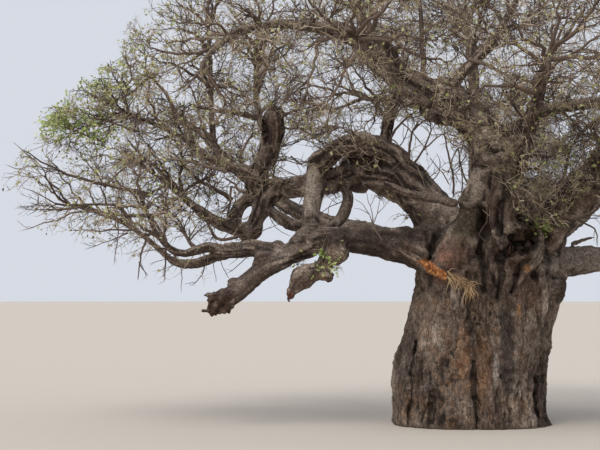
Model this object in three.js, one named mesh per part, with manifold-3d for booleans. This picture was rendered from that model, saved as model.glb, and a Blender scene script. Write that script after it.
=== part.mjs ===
// An old baobab: a squat trunk about 4 m thick, torn by elephants, that forks
// low into heavy twisted boughs, with a wide flat crown of bare twigs and a
// few young leaves. Millimetres, +Z up. The origin is the middle of the flat
// cut under the trunk, at ground level, and the tree is seen from -Y.
import * as THREE from 'three';
import { mergeVertices } from 'three/addons/utils/BufferGeometryUtils.js';
import Module from 'manifold-3d';

const wasm = await Module();
wasm.setup();

// ---- driving dimensions -------------------------------------------------
const M = 1000;              // the tables below are in metres
const GAP = 1.2;             // between a limb and what it grows from
const MASS_GAP = 25;         // between two masses of twigs
const TRUNK_SIDES = 26;      // facets round the trunk
const LIMB_STEP = 1.30;      // length of one facet along a limb
const FLARE = 1.9;           // how fast a limb thins after its foot
const MASS_DETAIL = 2;       // facets of a mass of twigs
const MASS_UNEVEN = 0.17;    // depth of its lumps, as a share of its radius

// the trunk, from the ground up: height, left side, right side, front, back
const TRUNK_RINGS = [
  [0.00, -2.10, 2.08, -1.92, 1.90],
  [0.30, -2.04, 1.94, -1.84, 1.82],
  [1.00, -2.08, 1.91, -1.80, 1.78],
  [1.80, -2.00, 1.96, -1.76, 1.74],
  [2.50, -1.79, 2.05, -1.68, 1.70],
  [3.10, -1.62, 2.24, -1.64, 1.68],
  [3.60, -1.50, 2.42, -1.62, 1.68],
  [4.00, -1.46, 2.42, -1.58, 1.64],
  [4.40, -1.28, 2.12, -1.42, 1.50],
  [4.70, -0.86, 1.62, -1.05, 1.20],
  [4.86, -0.20, 0.85, -0.45, 0.60],
];
const TRUNK_LOBES = [        // buttress lobes: angle, width (degrees), depth
  [-150, 26, 0.10], [-112, 15, 0.13], [-78, 13, 0.12], [-47, 17, 0.13],
  [-8, 24, 0.09], [38, 22, 0.14], [82, 20, 0.11], [126, 24, 0.13], [171, 20, 0.08],
];

// limbs: name, the points of one or more joined Bezier curves, radius at the
// foot and at the tip, and the mass of twigs that the tip enters
const LIMBS = [
  ['arch_bough', [[-0.52, 0.1, 4.72], [-1.25, 0.2, 5.84], [-1.92, 0.4, 6.76], [-2.98, 0.6, 6.75]], 0.82, 0.48],
  ['centre_bough', [[-0.62, -0.95, 3.87], [-0.52, -1, 4.79], [0.05, -1, 5.46], [0.53, -0.7, 6.57]], 0.64, 0.52],
  ['right_upright', [[1.64, -0.3, 4.45], [2.02, -0.9, 5.36], [2.64, -1.8, 6.07], [3.41, -2.8, 7.14]], 0.73, 0.44],
  ['low_bough', [[-0.89, -0.5, 4.24], [-1.9, -0.9, 4.9], [-3.35, -1.1, 4.97], [-4.53, -1.2, 4.63]], 0.62, 0.31],
  ['front_upright', [[0.79, -1.2, 4.12], [0.51, -1.6, 4.89], [0.48, -1.9, 5.64], [0.77, -2.2, 6.55]], 0.43, 0.30],
  ['right_bough', [[1.93, -0.1, 4.24], [2.63, 0, 4.35], [3.53, 0.3, 4.23], [4.91, 0.8, 4.48]], 0.47, 0.30],
  ['back_bough', [[0.3, 1.1, 4.2], [0.5, 2.4, 5.3], [0.4, 4.2, 6.2], [1.2, 5.4, 7.0], [1.8, 6.3, 7.6], [2.2, 7.2, 7.9], [2.4, 8.4, 8.6]], 0.55, 0.15, 'back_mass'],
  ['back_left_bough', [[-0.6, 0.9, 4.3], [-2.0, 2.2, 4.9], [-3.6, 3.2, 5.2], [-4.8, 4.0, 5.9], [-5.8, 4.7, 6.5], [-6.5, 5.2, 7.0], [-7.3, 5.4, 8.1]], 0.50, 0.14, 'left_back_mass'],
  ['back_right_bough', [[1.2, 0.8, 4.3], [2.4, 1.8, 5.2], [3.3, 2.6, 5.6], [4.3, 3.5, 6.5], [5.1, 4.2, 7.2], [5.8, 4.7, 7.6], [6.5, 5.1, 8.4]], 0.52, 0.15, 'right_back_mass'],
  ['arch_outer', [[-2.87, 0.6, 6.72], [-3.56, 0.7, 6.35], [-4.42, 0.6, 6.48], [-5.33, 0.5, 6.1]], 0.45, 0.27],
  ['arch_twin', [[-1.98, 0.3, 6.91], [-2.63, 0, 7.42], [-3.42, 0, 7.39], [-4.05, 0.4, 6.87]], 0.35, 0.27],
  ['link_upright', [[-4.05, 0.5, 6.82], [-4.24, 0.2, 6.16], [-4.24, -0.3, 5.55], [-4.27, -0.8, 4.8]], 0.24, 0.23],
  ['link_loop', [[-3.38, 0.6, 6.35], [-3.15, 0.2, 5.71], [-3.38, -0.5, 5.28], [-4.12, -0.9, 4.92]], 0.15, 0.15],
  ['drop_spur', [[-5.17, 0.5, 6.23], [-5.54, 0.4, 6.01], [-5.64, 0.3, 5.47], [-5.93, 0.2, 4.91]], 0.27, 0.19],
  ['upright_stump', [[-5.6, 0.5, 5.99], [-6.18, 0.4, 6.71], [-5.2, 0.4, 6.55], [-5.25, 0.4, 8.2]], 0.21, 0.27],
  ['stump_shoot', [[-5.3, 0.5, 7.5], [-5.5, 1.0, 7.8], [-5.8, 1.3, 8.3], [-5.7, 1.1, 9.6]], 0.14, 0.09, 'stump_mass'],
  ['broken_bough', [[-4.38, -1.2, 4.6], [-5.14, -1.3, 4.4], [-5.75, -1.5, 3.65], [-6.6, -1.6, 3.12]], 0.32, 0.30],
  ['hanging_spur', [[-3.56, -1.3, 4.7], [-3.36, -1.5, 4.31], [-3.52, -1.5, 3.96], [-4.12, -1.5, 3.93]], 0.24, 0.24],
  ['hanging_tip', [[-3.87, -1.5, 3.98], [-4.53, -1.5, 4.16], [-4.53, -1.6, 3.6], [-4.83, -1.6, 3.22]], 0.32, 0.08],
  ['low_left_limb', [[-5.3, -1.2, 4.5], [-5.76, -1.1, 4.63], [-6.17, -1, 4.58], [-6.64, -1, 4.48]], 0.20, 0.18],
  ['antler_upper', [[-6.53, -1, 4.53], [-7.04, -1.2, 4.83], [-7.42, -1.5, 4.16], [-7.84, -2, 4.55], [-8.16, -2.3, 4.84], [-8.24, -2.6, 5.37], [-8.51, -2.9, 5.95]], 0.15, 0.06, 'left_low_mass'],
  ['antler_lower', [[-6.48, -1, 4.43], [-6.98, -0.9, 4.3], [-7.38, -0.7, 3.95], [-7.96, -0.5, 4.34], [-8.55, -0.4, 4.86], [-9.23, -0.4, 5.52], [-10.48, -0.6, 5.71]], 0.14, 0.07, 'left_tip_mass'],
  ['mid_left_limb', [[-5.85, 0.25, 5.07], [-6.28, 0.3, 5.08], [-6.6, 0.4, 5.27], [-7.03, 0.4, 5.48], [-7.57, 0.5, 5.88], [-8.29, 0.8, 6.52], [-9.31, 1.2, 7.29]], 0.20, 0.07, 'left_mid_mass'],
  ['upper_left_limb', [[-5.7, 0.5, 6.66], [-6.15, 0.9, 6.72], [-6.71, 1.4, 6.84], [-7.28, 1.8, 7.32], [-7.74, 2, 7.78], [-8.44, 1.8, 8.14], [-9.23, 1.4, 8.26]], 0.21, 0.08, 'left_mid_mass'],
  ['upper_left_riser', [[-6.5, 1.2, 6.83], [-7.1, 1.2, 7.5], [-6.9, 1.1, 8.6], [-7.0, 0.8, 10.6]], 0.14, 0.08, 'left_top_mass'],
  ['centre_upper', [[0.5, -0.7, 6.36], [0.65, -0.6, 7.2], [0.22, -0.5, 8.1], [-0.81, -0.4, 8.43]], 0.52, 0.50],
  ['high_left_bough', [[-0.71, -0.4, 8.4], [-1.39, -0.5, 8.62], [-2.08, -0.6, 9.08], [-2.66, -0.8, 9.68]], 0.50, 0.29],
  ['high_left_limb', [[-2.61, -0.8, 9.63], [-3.09, -1.3, 10.07], [-4.08, -2.2, 10.4], [-5.56, -3.2, 9.93], [-6.04, -3.5, 9.75], [-6.6, -3.8, 9.46], [-6.83, -4, 8.95]], 0.27, 0.09, 'left_high_mass'],
  ['crown_riser', [[-2.55, -0.7, 9.54], [-2.63, -0.2, 10.36], [-3.14, 0.4, 11.16], [-3.5, 0.8, 12.43]], 0.25, 0.11, 'top_left_mass'],
  ['high_front_limb', [[-2.0, -0.7, 9.05], [-2.1, -2.4, 9.7], [-2.7, -4.0, 9.7], [-3.3, -5.8, 9.3]], 0.22, 0.10, 'front_left_mass'],
  ['top_limb', [[-0.57, -0.6, 8.82], [-0.16, -1.2, 9.36], [0.62, -2, 9.75], [1.2, -2.4, 11.6]], 0.17, 0.10, 'top_mass'],
  ['front_limb', [[0.77, -2.2, 6.5], [0.91, -3, 7.22], [1.21, -4, 8.03], [1.05, -6.4, 8.7]], 0.30, 0.13, 'front_mass'],
  ['right_upright_tip', [[3.36, -2.8, 7.09], [3.78, -3.4, 7.62], [4.42, -4.2, 8.01], [5.3, -5.9, 8.4]], 0.44, 0.19, 'front_right_mass'],
  ['right_riser', [[3.2, -2.6, 6.86], [3.44, -1.9, 7.79], [3.95, -1.2, 9], [4.0, -0.7, 11.1]], 0.30, 0.13, 'top_right_mass'],
  ['right_reach', [[3.95, -3.5, 7.66], [5.2, -3.6, 7.9], [6.2, -3.0, 8.5], [7.9, -2.7, 8.7]], 0.28, 0.13, 'right_upper_mass'],
  ['right_high_limb', [[0.66, -0.7, 7.35], [1.16, -0.9, 7.95], [1.96, -1.1, 8.31], [3.26, -1.3, 8.29], [4.4, -1.5, 8.3], [5.6, -1.7, 8.9], [7.3, -2.1, 9.0]], 0.23, 0.09, 'right_upper_mass'],
  ['right_bough_tip', [[4.8, 0.8, 4.45], [5.71, 1, 4.59], [6.6, 1.1, 5.0], [9.3, 1.0, 6.1]], 0.31, 0.14, 'right_tip_mass'],
  ['back_riser', [[0.5, 3.2, 5.75], [0.5, 4.3, 7.2], [0.7, 3.6, 9.2], [0.3, 4.1, 11.3]], 0.28, 0.13, 'top_back_mass'],
  ['back_fork', [[0.5, 3.8, 7.6], [0.5, 5.2, 8.7], [-0.8, 6.8, 9.3], [-2.6, 8.1, 9.6]], 0.19, 0.10, 'back_left_mass'],
];

// masses of twigs and young leaves: name, middle, half sizes, seed
const MASSES = [
  ['left_tip_mass', [-10.95, -0.6, 6.45], [1.45, 1.9, 1.25], 3],
  ['left_low_mass', [-8.8, -2.8, 5.75], [1.6, 1.8, 1.2], 8],
  ['left_mid_mass', [-9.5, 1.6, 8.0], [2.0, 2.4, 1.4], 13],
  ['left_top_mass', [-7.0, 0.8, 11.2], [1.75, 2.3, 1.3], 21],
  ['stump_mass', [-5.3, 2.4, 9.9], [1.9, 2.0, 1.25], 27],
  ['left_high_mass', [-6.5, -4.5, 9.2], [2.1, 2.6, 1.45], 34],
  ['left_back_mass', [-7.3, 5.8, 8.6], [2.7, 2.8, 1.8], 41],
  ['front_left_mass', [-3.0, -6.6, 9.5], [2.4, 2.4, 1.5], 46],
  ['front_mass', [1.5, -7.2, 9.2], [2.6, 2.3, 1.6], 55],
  ['front_right_mass', [5.9, -6.5, 8.8], [2.6, 2.6, 1.8], 62],
  ['top_left_mass', [-3.6, 0.0, 12.4], [2.9, 3.0, 1.45], 68],
  ['top_mass', [1.0, -2.4, 12.5], [2.7, 2.9, 1.5], 74],
  ['top_right_mass', [5.0, 0.0, 11.6], [2.7, 3.0, 1.6], 83],
  ['top_back_mass', [0.3, 4.4, 12.0], [3.1, 2.8, 1.6], 89],
  ['right_upper_mass', [8.8, -2.4, 8.9], [2.6, 2.8, 1.7], 95],
  ['right_tip_mass', [10.0, 1.6, 6.5], [2.3, 2.5, 1.45], 101],
  ['right_back_mass', [6.9, 5.5, 8.9], [2.9, 2.8, 1.9], 108],
  ['back_mass', [2.4, 9.0, 9.1], [2.9, 2.5, 1.8], 117],
  ['back_left_mass', [-3.0, 8.7, 9.9], [2.7, 2.5, 1.6], 124],
];

// ---- materials ------------------------------------------------------------
const barkOf = (hex) => () => new THREE.MeshStandardMaterial({ color: hex, roughness: 0.93, metalness: 0 });
const trunkBark = barkOf(0x5e4f44);
const boughBark = barkOf(0x55483f);
const twigMass = barkOf(0x6b6150);

// ---- solids ---------------------------------------------------------------
// a closed three.js geometry as a solid, with its shared vertices merged
function solid(geometry) {
  const g = geometry.clone();
  g.deleteAttribute('normal');
  g.deleteAttribute('uv');
  const merged = mergeVertices(g, 1e-3);
  return new wasm.Manifold(new wasm.Mesh({
    numProp: 3,
    vertProperties: new Float32Array(merged.attributes.position.array),
    triVerts: new Uint32Array(merged.index.array),
  }));
}

// the biggest connected piece of a solid, so that a cut leaves no crumbs
function biggest(s) {
  const pieces = s.decompose();
  return pieces.reduce((a, b) => (b.volume() > a.volume() ? b : a));
}

function meshOf(name, s, material) {
  const m = s.getMesh();
  let g = new THREE.BufferGeometry();
  g.setAttribute('position', new THREE.BufferAttribute(new Float32Array(m.vertProperties), 3));
  g.setIndex(new THREE.BufferAttribute(new Uint32Array(m.triVerts), 1));
  g.computeVertexNormals();
  const mesh = new THREE.Mesh(g, material());
  mesh.name = name;
  return mesh;
}

const lerp = (a, b, t) => a + (b - a) * t;

// the trunk: a closed cylinder whose rings take the outline and the lobes
function trunk(extra = 0) {
  const top = TRUNK_RINGS.length - 1;
  const g = new THREE.CylinderGeometry(1, 1, 1, TRUNK_SIDES, top, false);
  const p = g.attributes.position;
  for (let i = 0; i < p.count; i++) {
    const k = Math.round((p.getY(i) + 0.5) * top);
    const [z, left, right, front, back] = TRUNK_RINGS[k];
    const c = p.getX(i), s = -p.getZ(i);          // round the trunk, +Y is the back
    const middle = Math.hypot(c, s) < 1e-6;
    const a = Math.atan2(s, c) * 180 / Math.PI;
    let lobe = 0;
    for (const [at, width, depth] of TRUNK_LOBES) {
      const d = ((a - at + 540) % 360) - 180;
      lobe += depth * Math.exp(-d * d / (width * width));
    }
    const foot = 0.06 + 1.1 * Math.exp(-z / 0.8) + 0.35 * Math.exp(-z / 3.5);
    const r = middle ? 0 : 1 + (lobe - 0.10) * foot;
    const x = (left + right) / 2 + c * r * (right - left) / 2;
    const y = (front + back) / 2 + s * r * (back - front) / 2;
    const grow = middle ? 0 : extra;
    p.setXYZ(i, x * M + c * grow, y * M + s * grow, z * M + (k === top ? extra : 0));
  }
  return solid(g);
}

// a limb: a closed cylinder laid along its curve, thinning to its tip
function limb([name, pts, r0, r1], extra = 0) {
  const path = new THREE.CurvePath();
  const v = pts.map((q) => new THREE.Vector3(...q).multiplyScalar(M));
  for (let i = 0; i + 3 < v.length; i += 3) {
    path.add(new THREE.CubicBezierCurve3(v[i], v[i + 1], v[i + 2], v[i + 3]));
  }
  const sides = r0 > 0.4 ? 8 : r0 > 0.22 ? 6 : 5;
  const steps = Math.max(4, Math.round(path.getLength() / M / LIMB_STEP));
  const frames = path.computeFrenetFrames(steps, false);
  const g = new THREE.CylinderGeometry(1, 1, 1, sides, steps, false);
  const p = g.attributes.position;
  for (let i = 0; i < p.count; i++) {
    const k = Math.round((p.getY(i) + 0.5) * steps);
    const t = k / steps;
    const knot = 1 + 0.05 * Math.sin(7.3 * k + 3.1 * name.length);
    const r = (r1 + (r0 - r1) * (1 - t) ** FLARE) * knot * M + extra;
    const c = path.getPointAt(t);
    c.addScaledVector(frames.normals[k], p.getX(i) * r);
    c.addScaledVector(frames.binormals[k], -p.getZ(i) * r);
    c.addScaledVector(frames.tangents[k], k === 0 ? -extra : k === steps ? extra : 0);
    p.setXYZ(i, c.x, c.y, c.z);
  }
  return solid(g);
}

// a mass: a closed ball of facets, pushed in and out in uneven lumps
function mass([, mid, half, seed], extra = 0) {
  const g = new THREE.IcosahedronGeometry(1, MASS_DETAIL);
  const p = g.attributes.position;
  const q = new THREE.Vector3();
  for (let i = 0; i < p.count; i++) {
    q.fromBufferAttribute(p, i).normalize();
    let lump = 0;
    for (let k = 1; k <= 3; k++) {
      const w = 1.7 * k + 0.31 * ((seed * k) % 5);
      lump += Math.sin(w * q.x + seed * 1.3 * k) * Math.sin(w * q.y + seed * 0.7 + k)
        * Math.cos(w * q.z - seed * 0.9 * k) / Math.sqrt(k);
    }
    const flat = q.z < 0 ? 0.88 : 1;              // undersides are flatter
    const r = 1 + MASS_UNEVEN * 1.5 * lump;
    p.setXYZ(i,
      (mid[0] + q.x * half[0] * r) * M + q.x * extra,
      (mid[1] + q.y * half[1] * r) * M + q.y * extra,
      (mid[2] + q.z * half[2] * r * flat) * M + q.z * extra);
  }
  return solid(g);
}

const touching = (a, b) => {
  const p = a.boundingBox(), q = b.boundingBox();
  return [0, 1, 2].every((k) => p.min[k] < q.max[k] && q.min[k] < p.max[k]);
};

// ---- the tree ---------------------------------------------------------------
const tree = new THREE.Group();
tree.name = 'baobab_tree';
tree.add(meshOf('trunk', trunk(), trunkBark));

// each limb is cut where it leaves the trunk or an older limb, and where it
// enters its mass
const cutters = [trunk(GAP)];
const massByName = new Map(MASSES.map((m) => [m[0], m]));
for (const row of LIMBS) {
  let s = limb(row);
  for (const c of cutters) if (touching(s, c)) s = s.subtract(c);
  if (row[4]) s = s.subtract(mass(massByName.get(row[4]), GAP));
  s = biggest(s);
  cutters.push(limb(row, GAP));
  tree.add(meshOf(row[0], s, boughBark));
}

// each mass keeps clear of the limbs that pass through it and of its neighbours
const done = [];
for (const row of MASSES) {
  let s = mass(row);
  for (let i = 0; i < cutters.length; i++) {
    const endsHere = i > 0 && LIMBS[i - 1][4] === row[0];
    if (!endsHere && touching(s, cutters[i])) s = s.subtract(cutters[i]);
  }
  for (const other of done) if (touching(s, other)) s = s.subtract(other);
  s = biggest(s);
  done.push(mass(row, MASS_GAP));
  tree.add(meshOf(row[0], s, twigMass));
}

export default tree;
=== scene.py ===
import math
import bpy
import numpy as np
from mathutils.kdtree import KDTree
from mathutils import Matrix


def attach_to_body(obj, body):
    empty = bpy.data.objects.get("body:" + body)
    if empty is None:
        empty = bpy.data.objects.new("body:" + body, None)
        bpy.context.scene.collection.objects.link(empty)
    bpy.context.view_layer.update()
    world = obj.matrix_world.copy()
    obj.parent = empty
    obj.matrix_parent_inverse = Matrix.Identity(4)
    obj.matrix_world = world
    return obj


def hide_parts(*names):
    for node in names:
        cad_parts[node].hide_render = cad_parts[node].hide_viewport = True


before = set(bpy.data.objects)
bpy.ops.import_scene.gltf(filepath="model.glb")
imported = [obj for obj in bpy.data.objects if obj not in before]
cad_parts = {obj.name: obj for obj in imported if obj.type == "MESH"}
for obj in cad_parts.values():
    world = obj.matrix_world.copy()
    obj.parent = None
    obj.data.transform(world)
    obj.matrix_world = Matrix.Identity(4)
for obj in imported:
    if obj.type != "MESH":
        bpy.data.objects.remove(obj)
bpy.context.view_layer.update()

rng = np.random.default_rng(20817)

# ---------------------------------------------------------------------------
# the camera: a long lens, 42 m away, with the eye 3.3 m above the ground
# ---------------------------------------------------------------------------
FOCAL_PX, EYE, TILT_PX = 1596.0, np.array((-4.53, -42.0, 3.3)), 73.0
TILT = math.atan(TILT_PX / FOCAL_PX)
cam = bpy.data.cameras.new("camera")
cam.sensor_width = 36.0
cam.lens = FOCAL_PX / 600.0 * 36.0
cam.clip_start, cam.clip_end = 0.5, 4000.0
cam_ob = bpy.data.objects.new("camera", cam)
cam_ob.location = EYE
cam_ob.rotation_euler = (math.pi / 2 + TILT, 0.0, 0.0)
bpy.context.scene.collection.objects.link(cam_ob)
bpy.context.scene.camera = cam_ob


def to_frame(p):
    """where points fall in the 600 x 450 view, in pixels"""
    d = p - EYE
    c, s = math.cos(TILT), math.sin(TILT)
    depth = d[..., 1] * c + d[..., 2] * s
    up = d[..., 2] * c - d[..., 1] * s
    return 300 + FOCAL_PX * d[..., 0] / depth, 225 - FOCAL_PX * up / depth


def from_frame(u, v, y):
    """the point at depth y that falls on pixel u, v"""
    c, s = math.cos(TILT), math.sin(TILT)
    k = (225 - v) / FOCAL_PX
    dy = y - EYE[1]
    dz = dy * (s + k * c) / (c - k * s)
    return np.array((EYE[0] + (u - 300) / FOCAL_PX * (dy * c + dz * s), y, EYE[2] + dz))


# ---------------------------------------------------------------------------
# the tree's named sizes, in metres, as the solids have them
# ---------------------------------------------------------------------------
TRUNK_RINGS = np.array([
    [0.00, -2.10, 2.10, -1.90, 1.90],
    [0.30, -2.04, 1.96, -1.84, 1.82],
    [1.00, -2.08, 1.91, -1.80, 1.78],
    [1.80, -2.00, 1.96, -1.76, 1.74],
    [2.50, -1.79, 2.05, -1.68, 1.70],
    [3.10, -1.62, 2.22, -1.64, 1.68],
    [3.60, -1.50, 2.38, -1.62, 1.68],
    [4.00, -1.46, 2.36, -1.58, 1.64],
    [4.40, -1.28, 2.12, -1.42, 1.50],
    [4.90, -0.86, 1.62, -1.05, 1.20],
    [5.40, -0.30, 1.00, -0.60, 0.70],
])
TRUNK_LOBES = [  # angle, width (degrees), depth
    [-150, 26, 0.10], [-113, 20, 0.09], [-76, 18, 0.085], [-45, 17, 0.09],
    [-8, 24, 0.08], [38, 22, 0.13], [82, 20, 0.11], [126, 24, 0.13], [171, 20, 0.08],
]
# name, joined Bezier points, radius at the foot and the tip
LIMBS = [
    ["arch_bough", [[-0.52, 0.1, 4.72], [-1.25, 0.2, 5.84], [-1.92, 0.4, 6.76], [-2.98, 0.6, 6.75]], 0.82, 0.48],
    ["centre_bough", [[-0.62, -0.95, 3.87], [-0.52, -1, 4.79], [0.05, -1, 5.46], [0.53, -0.7, 6.57]], 0.64, 0.52],
    ["right_upright", [[1.64, -0.3, 4.45], [2.02, -0.9, 5.36], [2.64, -1.8, 6.07], [3.41, -2.8, 7.14]], 0.73, 0.44],
    ["low_bough", [[-0.89, -0.5, 4.24], [-1.9, -0.9, 4.9], [-3.35, -1.1, 4.97], [-4.53, -1.2, 4.63]], 0.62, 0.31],
    ["front_upright", [[0.79, -1.2, 4.12], [0.51, -1.6, 4.89], [0.48, -1.9, 5.64], [0.77, -2.2, 6.55]], 0.43, 0.30],
    ["right_bough", [[1.93, -0.1, 4.24], [2.63, 0, 4.35], [3.53, 0.3, 4.23], [4.91, 0.8, 4.48]], 0.47, 0.30],
    ["back_bough", [[0.3, 1.1, 4.2], [0.5, 2.4, 5.3], [0.4, 4.2, 6.2], [1.2, 5.4, 7.0], [1.8, 6.3, 7.6], [2.2, 7.2, 7.9], [2.4, 8.4, 8.6]], 0.55, 0.15],
    ["back_left_bough", [[-0.6, 0.9, 4.3], [-2.0, 2.2, 4.9], [-3.6, 3.2, 5.2], [-4.8, 4.0, 5.9], [-5.8, 4.7, 6.5], [-6.5, 5.2, 7.0], [-7.3, 5.4, 8.1]], 0.50, 0.14],
    ["back_right_bough", [[1.2, 0.8, 4.3], [2.4, 1.8, 5.2], [3.3, 2.6, 5.6], [4.3, 3.5, 6.5], [5.1, 4.2, 7.2], [5.8, 4.7, 7.6], [6.5, 5.1, 8.4]], 0.52, 0.15],
    ["arch_outer", [[-2.87, 0.6, 6.72], [-3.56, 0.7, 6.35], [-4.42, 0.6, 6.48], [-5.33, 0.5, 6.1]], 0.45, 0.27],
    ["arch_twin", [[-1.98, 0.3, 6.91], [-2.63, 0, 7.42], [-3.42, 0, 7.39], [-4.05, 0.4, 6.87]], 0.35, 0.27],
    ["link_upright", [[-4.05, 0.5, 6.82], [-4.24, 0.2, 6.16], [-4.24, -0.3, 5.55], [-4.27, -0.8, 4.8]], 0.24, 0.23],
    ["link_loop", [[-3.38, 0.6, 6.35], [-3.15, 0.2, 5.71], [-3.38, -0.5, 5.28], [-4.12, -0.9, 4.92]], 0.15, 0.15],
    ["drop_spur", [[-5.17, 0.5, 6.23], [-5.54, 0.4, 6.01], [-5.64, 0.3, 5.47], [-5.93, 0.2, 4.91]], 0.27, 0.19],
    ["upright_stump", [[-5.6, 0.5, 5.99], [-6.18, 0.4, 6.71], [-5.2, 0.4, 6.55], [-5.25, 0.4, 8.2]], 0.21, 0.27],
    ["stump_shoot", [[-5.3, 0.5, 7.5], [-5.5, 1.0, 7.8], [-5.8, 1.3, 8.3], [-5.7, 1.1, 9.6]], 0.14, 0.09],
    ["broken_bough", [[-4.38, -1.2, 4.6], [-5.14, -1.3, 4.4], [-5.75, -1.5, 3.65], [-6.6, -1.6, 3.12]], 0.32, 0.30],
    ["hanging_spur", [[-3.56, -1.3, 4.7], [-3.36, -1.5, 4.31], [-3.52, -1.5, 3.96], [-4.12, -1.5, 3.93]], 0.24, 0.24],
    ["hanging_tip", [[-3.87, -1.5, 3.98], [-4.53, -1.5, 4.16], [-4.53, -1.6, 3.6], [-4.83, -1.6, 3.22]], 0.30, 0.08],
    ["low_left_limb", [[-5.3, -1.2, 4.5], [-5.76, -1.1, 4.63], [-6.17, -1, 4.58], [-6.64, -1, 4.48]], 0.20, 0.18],
    ["antler_upper", [[-6.53, -1, 4.53], [-7.04, -1.2, 4.83], [-7.42, -1.5, 4.16], [-7.84, -2, 4.55], [-8.16, -2.3, 4.84], [-8.24, -2.6, 5.37], [-8.51, -2.9, 5.95]], 0.15, 0.05],
    ["antler_lower", [[-6.48, -1, 4.43], [-6.98, -0.9, 4.3], [-7.38, -0.7, 3.95], [-7.96, -0.5, 4.34], [-8.55, -0.4, 4.86], [-9.23, -0.4, 5.52], [-10.48, -0.6, 5.71]], 0.14, 0.06],
    ["mid_left_limb", [[-5.85, 0.25, 5.07], [-6.28, 0.3, 5.08], [-6.6, 0.4, 5.27], [-7.03, 0.4, 5.48], [-7.57, 0.5, 5.88], [-8.29, 0.8, 6.52], [-9.31, 1.2, 7.29]], 0.20, 0.05],
    ["upper_left_limb", [[-5.7, 0.5, 6.66], [-6.15, 0.9, 6.72], [-6.71, 1.4, 6.84], [-7.28, 1.8, 7.32], [-7.74, 2, 7.78], [-8.44, 1.8, 8.14], [-9.23, 1.4, 8.26]], 0.21, 0.06],
    ["upper_left_riser", [[-6.5, 1.2, 6.83], [-7.1, 1.2, 7.5], [-6.9, 1.1, 8.6], [-7.0, 0.8, 10.6]], 0.13, 0.06],
    ["centre_upper", [[0.5, -0.7, 6.36], [0.65, -0.6, 7.2], [0.22, -0.5, 8.1], [-0.81, -0.4, 8.43]], 0.52, 0.50],
    ["high_left_bough", [[-0.71, -0.4, 8.4], [-1.39, -0.5, 8.62], [-2.08, -0.6, 9.08], [-2.66, -0.8, 9.68]], 0.50, 0.29],
    ["high_left_limb", [[-2.61, -0.8, 9.63], [-3.09, -1.3, 10.07], [-4.08, -2.2, 10.4], [-5.56, -3.2, 9.93], [-6.04, -3.5, 9.75], [-6.6, -3.8, 9.46], [-6.83, -4, 8.95]], 0.26, 0.07],
    ["crown_riser", [[-2.55, -0.7, 9.54], [-2.63, -0.2, 10.36], [-3.14, 0.4, 11.16], [-3.5, 0.8, 12.43]], 0.25, 0.09],
    ["high_front_limb", [[-2.0, -0.7, 9.05], [-2.1, -2.4, 9.7], [-2.7, -4.0, 9.7], [-3.3, -5.8, 9.3]], 0.20, 0.08],
    ["top_limb", [[-0.57, -0.6, 8.82], [-0.16, -1.2, 9.36], [0.62, -2, 9.75], [1.2, -2.4, 11.6]], 0.16, 0.08],
    ["front_limb", [[0.77, -2.2, 6.5], [0.91, -3, 7.22], [1.21, -4, 8.03], [1.05, -6.4, 8.7]], 0.30, 0.11],
    ["right_upright_tip", [[3.36, -2.8, 7.09], [3.78, -3.4, 7.62], [4.42, -4.2, 8.01], [5.3, -5.9, 8.4]], 0.44, 0.17],
    ["right_riser", [[3.2, -2.6, 6.86], [3.44, -1.9, 7.79], [3.95, -1.2, 9], [4.0, -0.7, 11.1]], 0.30, 0.11],
    ["right_reach", [[3.95, -3.5, 7.66], [5.2, -3.6, 7.9], [6.2, -3.0, 8.5], [7.9, -2.7, 8.7]], 0.28, 0.11],
    ["right_high_limb", [[0.66, -0.7, 7.35], [1.16, -0.9, 7.95], [1.96, -1.1, 8.31], [3.26, -1.3, 8.29], [4.4, -1.5, 8.3], [5.6, -1.7, 8.9], [7.3, -2.1, 9.0]], 0.22, 0.08],
    ["right_bough_tip", [[4.8, 0.8, 4.45], [5.71, 1, 4.59], [6.6, 1.1, 5.0], [9.3, 1.0, 6.1]], 0.31, 0.12],
    ["back_riser", [[0.5, 3.2, 5.75], [0.5, 4.3, 7.2], [0.7, 3.6, 9.2], [0.3, 4.1, 11.3]], 0.28, 0.11],
    ["back_fork", [[0.5, 3.8, 7.6], [0.5, 5.2, 8.7], [-0.8, 6.8, 9.3], [-2.6, 8.1, 9.6]], 0.19, 0.08],
    # thinner limbs that grow from the ones above
    ["link_high", [[-2.29, 0.4, 7.03], [-2.24, 0.3, 7.55], [-2.31, 0, 8.05], [-1.86, -0.4, 8.69]], 0.18, 0.15],
    ["link_sway", [[-5.54, 0.5, 5.86], [-5.17, 0.3, 5.47], [-4.79, -0.2, 5.16], [-4.32, -0.6, 5.09]], 0.15, 0.16],
    ["loop_limb", [[-5.42, 0.5, 5.9], [-6.02, 0.5, 6.1], [-6.36, 0.5, 5.6], [-6.24, 0.4, 5.15]], 0.17, 0.16],
]
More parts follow.
